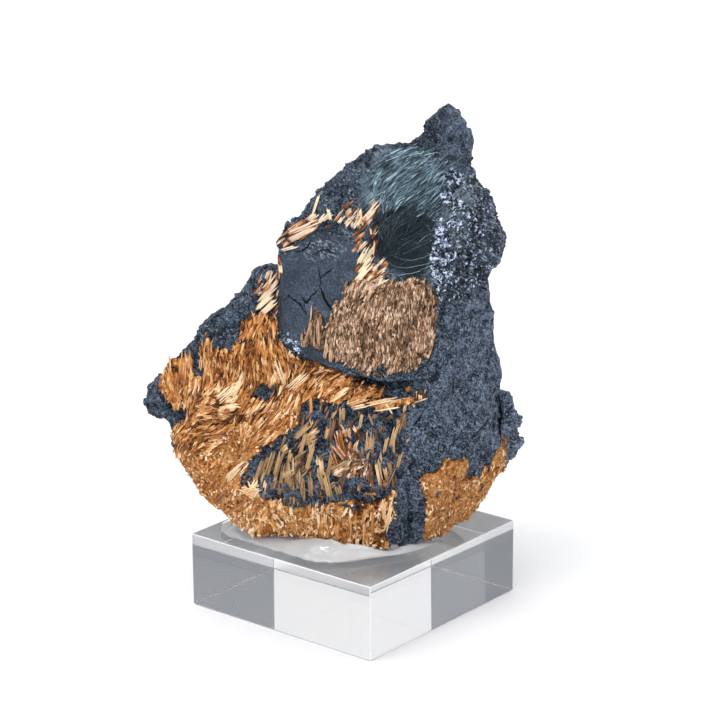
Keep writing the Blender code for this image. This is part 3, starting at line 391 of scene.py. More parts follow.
class RutileSettings(bpy.types.PropertyGroup):
    # The deepest tone, which also paints the shade in the gaps and pockets between the needles.
    deep: coloured("Deep", "Colour of the orange rutile in its pockets", (0.040, 0.011, 0.003))
    orange: coloured("Orange", "Colour of the fibrous mass", (0.48, 0.165, 0.033))
    gold: coloured("Gold", "Colour of the clean needles", (0.80, 0.41, 0.135))
    cream: coloured("Cream", "Colour of the palest blades", (0.99, 0.82, 0.56))
    shade: coloured("Shade", "Colour of the brown rutile in its gaps", (0.035, 0.021, 0.013))
    brown: coloured("Brown", "Colour of the brown fibres", (0.30, 0.165, 0.088))
    tan: coloured("Tan", "Colour of the lighter brown fibres", (0.60, 0.375, 0.235))
    pale: coloured("Pale", "Colour of the palest brown fibres", (0.90, 0.71, 0.55))
    ochre: coloured("Ochre", "Colour of the fan's blades", (0.62, 0.40, 0.19))
    density: quantity("Density", "Needles for each square millimetre of crust", 17.0, min=0.0)
    width: sized("Width", "Width of a needle", 0.165 * MM)


class BlockSettings(bpy.types.PropertyGroup):
    tint: coloured("Tint", "Colour of the acrylic", (0.985, 0.99, 0.99))
    acrylic_ior: quantity("Acrylic IOR", "How the block bends light", 1.49)
    glue_ior: quantity("Glue IOR", "How the glue bends light", 1.41)


class StudioSettings(bpy.types.PropertyGroup):
    distance: sized("Distance", "From the camera to the specimen", 436.5 * MM)
    lens: quantity("Lens", "Focal length on a 36 mm sensor", 130.0)
    elevation: quantity("Elevation", "How far the camera looks down", math.radians(17.1), subtype="ANGLE")
    floor: coloured("Floor", "Colour of the floor", (0.86, 0.865, 0.88))
    walls: quantity("Walls", "Strength of the light from all around", 0.21)
    wall_behind: quantity("Wall behind", "Added behind the specimen", 0.55)
    front: quantity("Front", "Added from the camera's side", 0.5)
    overhead: quantity("Overhead", "Added by the soft light overhead", 1.05)
    strip: quantity("Strip", "Watts of the narrow lamp", 0.28)
    key: quantity("Key", "Strength of the key light", 1.05)


class Wire:
    """A shader value. Sums and products of it add their Math nodes."""

    def __init__(self, graph, socket):
        self.graph = graph
        self.socket = socket

    def math(self, operation, first, second=None):
        values = {0: first} if second is None else {0: first, 1: second}
        return self.graph.node("ShaderNodeMath", {"operation": operation}, values)

    def __add__(self, other):
        return self.math("ADD", self, other)

    def __radd__(self, other):
        return self.math("ADD", other, self)

    def __sub__(self, other):
        return self.math("SUBTRACT", self, other)

    def __rsub__(self, other):
        return self.math("SUBTRACT", other, self)

    def __mul__(self, other):
        return self.math("MULTIPLY", self, other)

    def __rmul__(self, other):
        return self.math("MULTIPLY", other, self)

    def __truediv__(self, other):
        return self.math("DIVIDE", self, other)

    def above(self, low, high):
        """0 below low and 1 above high, with a smooth step between them."""
        inputs = {"Value": self, "From Min": low, "From Max": high}
        return self.graph.node("ShaderNodeMapRange", {"interpolation_type": "SMOOTHSTEP"}, inputs)

    def below(self, low, high):
        return 1.0 - self.above(low, high)


class Graph:
    """The nodes of a material or a world."""

    def __init__(self, owner):
        owner.use_nodes = True
        self.owner = owner
        self.nodes = owner.node_tree.nodes
        self.links = owner.node_tree.links

    def node(self, kind, settings=None, inputs=None, output=0):
        made = self.nodes.new(kind)
        for key, value in (settings or {}).items():
            if key == "stops":
                ramp = made.color_ramp
                while len(ramp.elements) < len(value):
                    ramp.elements.new(0.5)
                for element, (place, colour) in zip(ramp.elements, value):
                    element.position = place
                    element.color = (*colour, 1.0)
            else:
                setattr(made, key, value)
        for key, value in (inputs or {}).items():
            self.put(made.inputs[key], value)
        return Wire(self, made.outputs[output])

    def put(self, socket, value):
        if isinstance(value, Wire):
            self.links.new(value.socket, socket)
        elif socket.type == "RGBA":
            socket.default_value = (*value, 1.0)
        else:
            socket.default_value = value

    def place(self):
        """A place on a piece, in the specimen's own frame."""
        inputs = {"Vector": self.node("ShaderNodeTexCoord", output=3), "Angle": -TURN}
        return self.node("ShaderNodeVectorRotate", {"rotation_type": "Z_AXIS"}, inputs)

    def attribute(self, name):
        return self.node("ShaderNodeAttribute", {"attribute_name": name}, output="Fac")

    def split(self, vector):
        parts = self.node("ShaderNodeSeparateXYZ", None, {0: vector})
        return [Wire(self, parts.socket.node.outputs[index]) for index in range(3)]

    def vector(self, operation, first, second):
        kind = "Scale" if operation == "SCALE" else 1
        return self.node("ShaderNodeVectorMath", {"operation": operation}, {0: first, kind: second})

    def noise(self, place, size, detail=3.0, roughness=0.55, distortion=0.0):
        inputs = {
            "Vector": place, "Scale": 1.0 / size, "Detail": detail, "Roughness": roughness, "Distortion": distortion,
        }
        return self.node("ShaderNodeTexNoise", None, inputs)

    def cells(self, place, size, output="Distance"):
        return self.node("ShaderNodeTexVoronoi", None, {"Vector": place, "Scale": 1.0 / size}, output)

    def turned(self, place, degrees, scale):
        """The place, turned about the y axis and stretched, for streaks that run one way."""
        inputs = {"Vector": place, "Rotation": (0.0, math.radians(degrees), 0.0), "Scale": scale}
        return self.node("ShaderNodeMapping", {"vector_type": "TEXTURE"}, inputs)

    def blend(self, first, second, amount):
        inputs = {0: amount, 6: first, 7: second}
        return self.node("ShaderNodeMix", {"data_type": "RGBA"}, inputs, 2)

    def blob(self, place, centre, radii, edge, inner=0.7, outer=1.2):
        """1 inside an ellipse in x and z, and 0 outside it."""
        x, _, z = self.split(place)
        across = (x - centre[0] * MM) / (radii[0] * MM)
        upward = (z - centre[1] * MM) / (radii[1] * MM)
        return (across * across + upward * upward + edge).below(inner, outer)

    def bump(self, height, distance, strength=1.0):
        return self.node("ShaderNodeBump", None, {"Height": height, "Distance": distance, "Strength": strength})

    def finish(self, **values):
        shader = self.nodes["Principled BSDF"]
        for key, value in values.items():
            self.put(shader.inputs[key.replace("_", " ")], value)
        return self.owner


def finish_graph(name):
    return Graph(bpy.data.materials.new(name))


def glittered(graph, normal, colour, amount):
    """The normal, tilted by a random colour, so that single grains catch the light."""
    tilt = graph.vector("SCALE", graph.vector("SUBTRACT", colour, (0.5, 0.5, 0.5)), amount)
    return graph.node("ShaderNodeVectorMath", {"operation": "NORMALIZE"}, {0: graph.vector("ADD", normal, tilt)})


def hematite_finish(look):
    """Broken, half metallic stone with a smooth face, a fibrous hollow and glittering grains, whose glints are partly
    painted into its colour.
    """
    graph = finish_graph("hematite_finish")
    place = graph.place()
    x, y, z = graph.split(place)
    dark, light, glint = tuple(look.dark), tuple(look.light), tuple(look.glint)
    # How far the stone stands out, kept on its mesh to paint shade in its hollows and light on its proud places.
    proud = graph.attribute("proud")
    ragged = graph.noise(place, 3 * MM, 4) * 0.7 - 0.35

    # Where each kind of surface shows, from 0 to 1.
    front = y.below(-0.5 * MM, 2 * MM)
    teal = graph.blob(place, (10.4, 68), (9, 10.6), ragged) * front
    well = graph.blob(place, (8.4, 63.0), (5.8, 5.2), ragged * 1.2, 0.72, 1.02)
    glitter = graph.blob(place, (18.4, 63), (6, 10), ragged) * front
    glint_spots = sum(graph.blob(place, spot[:2], spot[2:4], ragged) * spot[4] for spot in GLINT_SPOTS) * front
    ear = graph.blob(place, (27.6, 26.5), (3, 6), ragged) * y.below(3 * MM, 8 * MM)
    smooth = graph.blob(place, (-4.4, 54.4), (8.8, 11), ragged * 0.5) * y.below(-6 * MM, -4 * MM)
    plain = 1.0 - smooth * 0.85
    dim = x.below(-2 * MM, 6 * MM) * z.above(34 * MM, 42 * MM) + z.above(69 * MM, 77 * MM)
    dim = (dim + x.below(-29 * MM, -23 * MM)).above(0.0, 1.0)

    # The broken stone, with its grains, painted shade in its pits and low places and painted light on its proud
    # places, then the smooth face and a little rust.
    grains = graph.noise(place, 0.3 * MM, 4, 0.8)
    patches = graph.noise(place, 5 * MM, 4)
    facet = graph.cells(place, 0.7 * MM, "Color")
    shade = grains * 1.35 + patches * 0.14 + graph.split(facet)[1] * 0.18 + proud * 0.09
    # Pits, painted dark as the shade inside them.
    pits = graph.noise(place, 0.36 * MM, 3, 0.6).above(0.54, 0.62)
    fresh = shade.above(0.68, 1.02) * (1.0 - pits * 0.85) * (1.0 - dim * 0.35)
    # Lighter mottling on the smooth face, from the grain noise and, as painted light, from how far the stone stands
    # out.
    face_mottle = (grains + patches * 0.5 + proud * 0.1).above(0.60, 1.0) * 0.3
    colour = graph.blend(graph.blend(dark, light, fresh), graph.blend(tuple(look.face), light, face_mottle), smooth)
    rust = (graph.noise(place, 2.2 * MM, 5, 0.65) * 0.8 + patches * 0.3).above(0.62, 0.74) * plain * 0.2
    colour = graph.blend(colour, (0.060, 0.036, 0.022), rust)

    # The hollow face, streaked with fibres and dark in its well.
    streaks = graph.noise(graph.turned(place, -30, (7, 3, 0.24)), 1 * MM, 5, 0.7, 1.4)
    fine = graph.noise(graph.turned(place, -52, (4, 2, 0.15)), 1 * MM, 4, 0.65, 1.0)
    lit = (streaks * 0.55 + fine * 0.35 + patches * 0.3).above(0.50, 0.74)
    high = (z + x * 0.3 + ragged * 6 * MM).above(63 * MM, 74 * MM)
    streaked = lit * (0.2 + 0.8 * high) * (1.0 - well * 0.85)
    fibres = graph.blend((0.005, 0.013, 0.020), tuple(look.teal), streaked)
    colour = graph.blend(colour, fibres, teal * 0.94)

    # The glints of the bright grains, painted into the colour.
    colour = graph.blend(colour, dark, glitter * 0.6)
    crumb = graph.cells(graph.turned(place, 35, (1.7, 1, 0.75)), 0.27 * MM, "Color")
    pick, other, tint = graph.split(crumb)
    clumps = graph.noise(place, 1.4 * MM, 3).above(0.40, 0.56)
    painted_glints = pick.above(0.58, 0.66) * (glitter * clumps * 0.9 + glint_spots + ear * 0.5) * other
    # Sparse painted glints over the rest of the stone, fewer on its back.
    painted_glints = painted_glints + tint.above(0.86, 0.92) * plain * other * (1.0 - teal) * (0.22 + 0.2 * front)
    colour = graph.blend(colour, glint, painted_glints)

    dull = graph.noise(place, 1.1 * MM, 4, 0.6)
    roughness = 0.40 + dull * 0.3 - painted_glints * 0.3 - ear * 0.16 + teal * 0.15
    height = (grains + patches * 0.4 - pits * 0.3) * plain * (1.0 - teal * 0.8)
    normal = graph.bump(height + lit * teal * 0.4, 0.5 * MM)
    normal = glittered(graph, glittered(graph, normal, facet, 0.55 * plain), crumb, 0.45 * plain)
    return graph.finish(
        Base_Color=colour, Roughness=roughness, Metallic=look.metal, Normal=normal, Specular_IOR_Level=0.4
    )


def rutile_colour(graph, stops, tone):
    places = [(place, tuple(stop)) for place, stop in zip((0.0, 0.33, 0.66, 1.0), stops)]
    return graph.node("ShaderNodeValToRGB", {"stops": places}, {0: tone})


def needle_finish(name, stops):
    """The finish of needles and laths. The tone of each one is kept on its mesh."""
    graph = finish_graph(name)
    place = graph.place()
    tone = graph.attribute("tone")
    mottled = tone + graph.noise(place, 0.5 * MM, 3) * 0.4 - 0.2
    colour = rutile_colour(graph, stops, mottled)
    normal = graph.bump(graph.noise(place, 0.12 * MM, 2), 0.05 * MM, 0.6)
    return graph.finish(Base_Color=colour, Roughness=0.42, Normal=normal, Specular_IOR_Level=0.4)


def bed_finish(name, stops):
    """The finish of the felted crust between the needles. Its dark tones also paint the shade between them."""
    graph = finish_graph(name)
    place = graph.place()
    tone = graph.attribute("tone")
    crumbs = graph.noise(place, 0.6 * MM, 5, 0.7)
    clouds = graph.noise(place, 3.4 * MM, 3)
    coils = graph.noise(place, 1.1 * MM, 2, 0.5, 2.2) - 0.5
    threads = (coils * coils).below(0.0, 0.0016)
    mottled = tone + crumbs * 0.9 + clouds * 0.5 + threads * 0.3 - 0.75
    colour = rutile_colour(graph, stops, mottled)
    normal = graph.bump(crumbs + graph.cells(place, 0.5 * MM) * 0.5 + threads * 0.3, 0.4 * MM)
    return graph.finish(Base_Color=colour, Roughness=0.62, Normal=normal, Specular_IOR_Level=0.3)


def line_finish(name, low, high):
    graph = finish_graph(name)
    colour = graph.blend(low, high, graph.noise(graph.place(), 0.6 * MM, 3))
    return graph.finish(Base_Color=colour, Roughness=0.8, Specular_IOR_Level=0.1)


def acrylic_finish(look):
    graph = finish_graph("acrylic_finish")
    haze = graph.noise(graph.place(), 4 * MM, 5, 0.7).above(0.62, 0.85) * 0.02
    tint = graph.blend(tuple(look.tint), (0.90, 0.92, 0.94), haze)
    return graph.finish(Base_Color=tint, Roughness=0.0, IOR=look.acrylic_ior, Transmission_Weight=1.0)


def edge_highlight_finish(look):
    # A pale rough finish on the bevels: a painted highlight where the block's edges catch the light.
    graph = finish_graph("painted_edge_highlight_finish")
    roughness = 0.35 + graph.noise(graph.place(), 1 * MM, 3) * 0.3
    return graph.finish(
        Base_Color=(0.93, 0.94, 0.95), Roughness=roughness, IOR=look.acrylic_ior, Transmission_Weight=0.15
    )


def glue_finish(look):
    graph = finish_graph("glue_finish")
    place = graph.place()
    roughness = 0.02 + graph.noise(place, 5 * MM, 3) * 0.06
    normal = graph.bump(graph.noise(place, 3 * MM, 1, distortion=0.4), 0.4 * MM)
    return graph.finish(
        Base_Color=(0.96, 0.97, 0.99), Roughness=roughness, IOR=look.glue_ior, Transmission_Weight=0.6, Normal=normal
    )


def floor_finish(look):
    graph = finish_graph("floor_finish")
    return graph.finish(Base_Color=tuple(look.floor), Roughness=0.9)


def new_mesh(name, shape, smooth=False):
    """A mesh of the shape, which is used up."""
    for face in shape.faces:
        face.smooth = smooth
    mesh = bpy.data.meshes.new(name)
    shape.to_mesh(mesh)
    shape.free()
    return mesh


def even_out(shape, times):
    for _ in range(times):
        bmesh.ops.smooth_vert(
            shape, verts=shape.verts, factor=0.5, use_axis_x=True, use_axis_y=True, use_axis_z=True
        )
    shape.normal_update()


def moved(shape, offset):
    """Moves every vertex by its offset. All offsets are worked out before the first vertex moves."""
    offsets = [offset(vertex) for vertex in shape.verts]
    for vertex, step in zip(shape.verts, offsets):
        vertex.co += step


def welded(name):
    """The outside of one of the frame's nodes."""
    shape = bmesh.new()
    shape.from_mesh(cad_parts[name].data)
    bmesh.ops.remove_doubles(shape, verts=shape.verts, dist=WELD)
    return shape


def turned_back(shape):
    """Turns a shape from the block's frame to the specimen's own frame."""
    bmesh.ops.rotate(shape, verts=shape.verts, matrix=Matrix.Rotation(-TURN, 3, "Z"))


def dressed(name, mesh, finish, nodes=()):
    """A piece of the specimen, turned on the block as the specimen is. It hides the nodes, if any are given."""
    mesh.transform(Matrix.Rotation(TURN, 4, "Z"))
    piece = bpy.data.objects.new(name, mesh)
    bpy.context.scene.collection.objects.link(piece)
    for one in finish if isinstance(finish, tuple) else (finish,):
        mesh.materials.append(one)
    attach(piece, "root")
    if nodes:
        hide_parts(*nodes)


def in_outline(outline, x, z):
    found = False
    for (x1, z1), (x2, z2) in zip(outline, outline[1:] + outline[:1]):
        if (z1 > z) != (z2 > z) and x < (x2 - x1) * (z - z1) / (z2 - z1) + x1:
            found = not found
    return found


def in_region(name, x, z):
    """Whether a region reaches a place in millimetres. Its edge is ragged."""
    point = Vector((x / 1.6, 3.7, z / 1.6))
    ragged = noise.noise_vector(point) * 0.8 + noise.noise_vector(point * 3) * 0.35
    x, z = x + ragged.x, z + ragged.z
    if not in_outline(REGIONS[name][1], x, z):
        return False
    for centre_x, centre_z, wide, high, slant in ISLANDS.get(name, ()):
        turn = math.radians(slant)
        dx, dz = x - centre_x, z - centre_z
        across = (dx * math.cos(turn) + dz * math.sin(turn)) / wide
        upward = (dz * math.cos(turn) - dx * math.sin(turn)) / high
        if across * across + upward * upward < 1:
            return False
    return True


def grain_angle(x, z):
    """Which way the needles run at a place, in radians."""
    sum_x = sum_z = 0.0
    for at_x, at_z, degrees in GRAIN:
        weight = 1.0 / ((x - at_x) ** 2 + (z - at_z) ** 2 + 0.8) ** 1.6
        sum_x += weight * math.cos(math.radians(2 * degrees))
        sum_z += weight * math.sin(math.radians(2 * degrees))
    return math.atan2(sum_z, sum_x) / 2


def remeshed(source, size):
    """A shape's outside with even small faces."""
    body = bpy.data.objects.new("source", new_mesh("source", source))
    bpy.context.scene.collection.objects.link(body)
    even = body.modifiers.new("even", "REMESH")
    even.mode = "VOXEL"
    even.voxel_size = size
    bpy.context.view_layer.update()
    mesh = bpy.data.meshes.new_from_object(body.evaluated_get(bpy.context.evaluated_depsgraph_get()))
    bpy.data.objects.remove(body)
    shape = bmesh.new()
    shape.from_mesh(mesh)
    return shape


def keep_outside(shape):
    """Drops the closed pockets inside a skin."""
    left = set(shape.verts)
    groups = []
    while left:
        front = [left.pop()]
        group = list(front)
        while front:
            for edge in front.pop().link_edges:
                for vertex in edge.verts:
                    if vertex in left:
                        left.discard(vertex)
                        group.append(vertex)
                        front.append(vertex)
        groups.append(group)
    groups.sort(key=len)
    inner = [vertex for group in groups[:-1] for vertex in group]
    bmesh.ops.delete(shape, geom=inner, context="VERTS")


class Skin:
    """The specimen's outside as one closed skin, smooth, in the specimen's own frame."""

    def __init__(self):
        noise.seed_set(NOISE_SEED)
        joined = bmesh.new()
        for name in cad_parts:
            if name not in ("adhesive", "acrylic_base"):
                part = welded(name)
                bmesh.ops.recalc_face_normals(part, faces=part.faces)
                part.normal_update()
                moved(part, lambda vertex: vertex.normal * SKIN_SWELL * MM)
                joined.from_mesh(new_mesh("swollen", part))
        turned_back(joined)
        shape = remeshed(joined, SKIN_VOXEL)
        keep_outside(shape)
        even_out(shape, 3)
        self.shape = shape
        self.tree = BVHTree.FromBMesh(shape)
        self.stone = self.tree

    def hit(self, side, x, z):
        """The point and the normal of the skin at a place in millimetres, seen from a side."""
        start = Vector((x * MM, side * OUTSIDE, z * MM))
        point, normal, _, _ = self.tree.ray_cast(start, Vector((0, -side, 0)))
        return point, normal

    def region_of(self, place, normal):
        """The region of rutile that covers the skin at a place, if there is one."""
        for name, (side, _) in REGIONS.items():
            if name not in ON_STONE and normal.y * side > FACING and in_region(name, place.x / MM, place.z / MM):
                return name
        return None


skins = []


def the_skin():
    if not skins:
        skins.append(Skin())
    return skins[0]


def chipped(point, size):
    """A height of broken facets: each one is a small plane with its own slope and level."""
    spot = noise.voronoi(point / size)[1][0]
    slope = noise.cell_vector(spot * 7.3)
    plane = (point / size - spot).dot(slope - Vector((0.5, 0.5, 0.5)))
    return 1.5 * plane + 0.5 * (noise.cell(spot * 9.1) - 0.5)


def flatness(point):
    """How much flatter than its broken rest the stone is at a point, from 0 to 1."""
    x, z = point.x / MM, point.z / MM
    flat = 0.0
    for at_x, at_z, wide, high, reach, fade, most, depth in FLATS:
        if point.y < depth * MM:
            here = reach - fade * math.hypot((x - at_x) / wide, (z - at_z) / high)
            flat = max(flat, min(most, here))
    return flat


def stone_relief(point, amount):
    """How far the broken hematite stands out at a point. Its back is broken into bigger facets."""
    swell = noise.fractal(point / (2.4 * MM), 0.8, 2.1, 4)
    rough = 0.3 * swell + 0.55 * chipped(point, 2.8 * MM) + 0.4 * chipped(point, 1.3 * MM)
    rough += 1.6 * max(0.0, min(1.0, point.y / (4 * MM))) * chipped(point, 9 * MM)
    return amount * (1 - 0.9 * flatness(point)) * rough


def swelling(x, z):
    """How far the stone is fuller at a place than its smoothed skin, in millimetres."""
    return sum(
        amount * max(0.0, 1 - math.hypot(x - at_x, z - at_z) / radius) for at_x, at_z, radius, amount in SWELLS
    )


def groove_depth(x, z):
    """How deep a groove is at a place, in millimetres."""
    deepest = 0.0
    for half, depth, line in GROOVES:
        for (x1, z1), (x2, z2) in zip(line, line[1:]):
            along = ((x - x1) * (x2 - x1) + (z - z1) * (z2 - z1)) / ((x2 - x1) ** 2 + (z2 - z1) ** 2)
            along = max(0.0, min(1.0, along))
            away = math.hypot(x - x1 - (x2 - x1) * along, z - z1 - (z2 - z1) * along)
            deepest = max(deepest, depth * (1 - away / half))
    return deepest * (1.0 + 1.1 * noise.noise(Vector((x / 1.1, 2.6, z / 1.1))))


def stone_mesh(look):
    """The hematite, sunk a little where rutile covers it."""
    skin = the_skin()
    shape = skin.shape.copy()
    shape.normal_update()
    painted_relief_shades = shape.verts.layers.float.new("proud")

    def rise(vertex):
        x, z = vertex.co.x / MM, vertex.co.z / MM
        move = stone_relief(vertex.co, look.relief) + swelling(x, z) * MM
        if vertex.normal.y < 0.1:
            move -= groove_depth(x, z) * MM
        # How far the vertex stands out, which the finish uses to paint shade in the hollows and light on the proud
        # places.
        vertex[painted_relief_shades] = move / look.relief
        region = skin.region_of(vertex.co, vertex.normal)
        if region in BEDLESS:
            move = -SUNK_UNDER_LATHS * MM + move * 0.2
        elif region:
            move = -SUNK_UNDER_BEDS * MM + move * 0.3
        return vertex.normal * move

    moved(shape, rise)
    shape.normal_update()
    skin.stone = BVHTree.FromBMesh(shape)
    return new_mesh("hematite_stone", shape, smooth=True)


def line_mesh(name, lines, lift, jitter):
    """Lines in the stone's surface, as narrow ribbons that end in points."""
    skin = the_skin()
    shape = bmesh.new()
    wander = random.Random(5)
    for width, line in lines:
        points = []
        for (x1, z1), (x2, z2) in zip(line, line[1:]):
            for step in range(5):
                points.append((x1 + (x2 - x1) * step / 5, z1 + (z2 - z1) * step / 5))
        points.append(line[-1])
        rows = []
        for number, (x, z) in enumerate(points):
            x += wander.uniform(-jitter, jitter)
            z += wander.uniform(-jitter, jitter)
            hit, normal, _, _ = skin.stone.ray_cast(Vector((x * MM, -OUTSIDE, z * MM)), Vector((0, 1, 0)))
            after = points[min(number + 1, len(points) - 1)]
            before = points[max(number - 1, 0)]
            along = Vector((after[0] - before[0], 0, after[1] - before[1])).normalized()
            across = along.cross(normal).normalized()
            swell = math.sin(math.pi * (number + 0.4) / (len(points) - 0.2)) ** 0.6
            half = width * MM / 2 * swell * wander.uniform(0.5, 1.2)
            foot = hit + normal * lift * MM
            rows.append((shape.verts.new(foot - across * half), shape.verts.new(foot + across * half)))
        for low, high in zip(rows, rows[1:]):
            shape.faces.new((low[0], low[1], high[1], high[0]))
    return new_mesh(name, shape)


def bed_mesh(name, regions, tone, lift):
    """A felted crust over the regions, ridged the way its needles run and tucked into the stone at its edge."""
    source = the_skin().shape
    side = REGIONS[regions[0]][0]
    numbers = {}
    shape = bmesh.new()
    for face in source.faces:
        place = face.calc_center_median()
        x, z = place.x / MM, place.z / MM
        if face.normal.y * side > FACING and any(in_region(region, x, z) for region in regions):
            for vertex in face.verts:
                if vertex.index not in numbers:
                    numbers[vertex.index] = shape.verts.new(vertex.co)
            shape.faces.new([numbers[vertex.index] for vertex in face.verts])
    bmesh.ops.subdivide_edges(shape, edges=shape.edges, cuts=1, use_grid_fill=True)
    shape.normal_update()
    tones = shape.verts.layers.float.new("tone")

    def rise(vertex):
        x, z = vertex.co.x / MM, vertex.co.z / MM
        angle = grain_angle(x, z)
        across = x * math.sin(angle) - z * math.cos(angle)
        along = x * math.cos(angle) + z * math.sin(angle)
        streak = noise.fractal(Vector((across / 0.45, vertex.co.y / MM, along / 2.6)), 0.8, 2.0, 3)
        crumb = noise.fractal(vertex.co / (1.2 * MM), 0.7, 2.0, 4)
        crumbly = granular(x, z) if side < 0 and x < 0 else 0.0
        vertex[tones] = tone + 0.18 * streak + 0.16 * crumb + (0.28 + 0.3 * paleness(x, z)) * crumbly
        inside = all(edge.is_manifold for edge in vertex.link_edges)
        height = max(0.0, 0.04 + lift * (0.4 + 0.6 * streak + 0.45 * crumb))
        return vertex.normal * MM * (height if inside else -BED_TUCK)

    moved(shape, rise)
    return new_mesh(name, shape, smooth=True)


class Needles:
    """Collects needles into one mesh, with a tone for each."""

    def __init__(self):
        self.points = []
        self.faces = []
        self.tones = []

    def add(self, root, direction, normal, length, width, tone, fade=0.2):
        """A four-sided needle with a narrow root, darker by the fade as painted shade towards the stone, and a pointed
        end that is a little lighter.
        """
        across = direction.cross(normal).normalized() * width / 2
        thick = across.cross(direction).normalized() * width * 0.4
        base = len(self.points)
        low = root + direction * length * 0.12
        high = root + direction * length * 0.82
        self.points += [root, low + across * 0.8, low + thick * 0.8, low - across * 0.8, low - thick * 0.8]
        self.points += [high + across, high + thick, high - across, high - thick, root + direction * length]
        for one, two in ((1, 2), (2, 3), (3, 4), (4, 1)):
            self.faces.append((base, base + two, base + one))
            self.faces.append((base + one, base + two, base + two + 4, base + one + 4))
            self.faces.append((base + one + 4, base + two + 4, base + 9))
        # Painted shade: darker at the root, a little lighter at the tip.
        self.tones += [tone - 1.6 * fade] + [tone - fade] * 4 + [tone] * 4 + [tone + 0.06]

    def mesh(self, name):
        mesh = bpy.data.meshes.new(name)
        mesh.from_pydata(self.points, [], self.faces)
        tones = mesh.attributes.new("tone", "FLOAT", "POINT")
        tones.data.foreach_set("value", self.tones)
        return mesh

    def dress(self, name, finish, slot, nodes=()):
        dressed(name, self.mesh(name), finish, nodes)


def laid(normal, angle, lift):
    """A direction at an angle in the x-z plane, laid on the surface and lifted a little."""
    along = Vector((math.cos(angle), 0, math.sin(angle)))
    along = (along - normal * along.dot(normal)).normalized()
    return along * math.cos(lift) + normal * math.sin(lift)


def block_mesh():
    """The acrylic block, with narrow bevelled edges whose pale rough finish paints the highlight along them."""
    low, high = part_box("acrylic_base")
    shape = bmesh.new()
    bmesh.ops.create_cube(shape, size=1.0)
    for vertex in shape.verts:
        vertex.co = Vector(high[i] if vertex.co[i] > 0 else low[i] for i in range(3))
    made = bmesh.ops.bevel(shape, geom=shape.edges, offset=BLOCK_BEVEL, segments=1, affect="EDGES")
    for face in made["faces"]:
        face.material_index = 1
    turned_back(shape)
    return new_mesh("acrylic_block", shape)


def glue_mesh():
    """The glue, evened out into a smooth gel with low waves where it is free of the block."""
    source = welded("adhesive")
    turned_back(source)
    shape = remeshed(source, GLUE_VOXEL)
    even_out(shape, 8)
    low = min(vertex.co.z for vertex in shape.verts)

    def wave(vertex):
        free = max(0.0, min(1.0, (vertex.co.z - low) / MM - 0.3))
        return vertex.normal * free * GLUE_WAVE * MM * noise.noise(vertex.co / (GLUE_WAVE_SIZE * MM))

    moved(shape, wave)
    return new_mesh("glue", shape, smooth=True)


def granular(x, z):
    """How granular the mass is at a place, from 0 to 1. Its lower left is crumbs rather than fibres."""
    low = (34.5 - z + 0.5 * x + 8.5) / 5 + noise.noise(Vector((x / 3, 8.1, z / 3))) * 0.6
    return max(0.0, min(1.0, low))


def paleness(x, z):
    """How much paler the crumbs are at a place, from 0 to 1."""
    away = min(math.hypot(x - at_x, z - at_z) / radius for at_x, at_z, radius in PALE)
    return max(0.0, min(1.0, 1.4 - away + 0.5 * noise.noise(Vector((x, 4.5, z)))))


def grow(needles, region, look):
    """Grows bundles of needles over a region, the way its grain runs, and crumbs where it is granular."""
    skin = the_skin()
    how = GROWTHS[region]
    chance = random.Random(how.seed)
    side, outline = REGIONS[region]
    low_x, high_x = min(p[0] for p in outline), max(p[0] for p in outline)
    low_z, high_z = min(p[1] for p in outline), max(p[1] for p in outline)
    count = int(look.density * how.share * (high_x - low_x) * (high_z - low_z) * 2 / sum(how.bundle))
    for _ in range(count):
        x, z = chance.uniform(low_x, high_x), chance.uniform(low_z, high_z)
        if not in_region(region, x, z) or noise.noise(Vector((x / 1.3, 6.4, z / 1.3))) < how.pockets:
            continue
        point, normal = skin.hit(side, x, z)
        if point is None or normal.y * side < STEEPEST:
            continue
        angle = grain_angle(x, z) + math.radians(chance.gauss(0, how.spread))
        angle += math.pi * chance.randint(0, 1)
        length = chance.uniform(*how.lengths) * MM
        lift = math.radians(chance.uniform(*how.lifts))
        tone = chance.uniform(*how.tones) + 0.25 * noise.noise(Vector((x / 2.5, 1.5, z / 2.5)))
        width = look.width * how.fine * chance.uniform(0.6, 1.2)
        number = chance.randint(*how.bundle)
        if chance.random() < how.crumbs * granular(x, z):
            # Nearly half of the crumbs are left out, so that the bed shows between the others.
            if chance.random() < 0.45:
                continue
            angle = chance.uniform(0, 2 * math.pi)
            length = chance.uniform(0.4, 0.9) * MM
            lift = math.radians(chance.uniform(5, 45))
            tone += 0.18 + 0.45 * paleness(x, z) * chance.random()
            width *= 1.2
            number = 2
        # Needles that would cross the region's edge are kept short.
        reach = 0.65 * length / MM
        if region not in BEDLESS and not in_region(region, x + reach * math.cos(angle), z + reach * math.sin(angle)):
            length *= 0.45
        direction = laid(normal, angle, lift)
        across = direction.cross(normal).normalized()
        height = 0.08 if region in BEDLESS or region in ON_STONE else chance.uniform(0.12, 0.4)
        for place in range(number):
            aside = across * width * 0.85 * (place - (number - 1) / 2)
            slide = direction * length * chance.uniform(-0.15, 0.15)
            root = point + normal * height * MM - direction * length * 0.35 + aside + slide
            reach = length * chance.uniform(0.75, 1.1)
            needles.add(root, direction, normal, reach, width, tone + chance.uniform(-0.22, 0.22))


def grown(look, *regions):
    """The needles of some regions."""
    needles = Needles()
    for region in regions:
        grow(needles, region, look)
    return needles


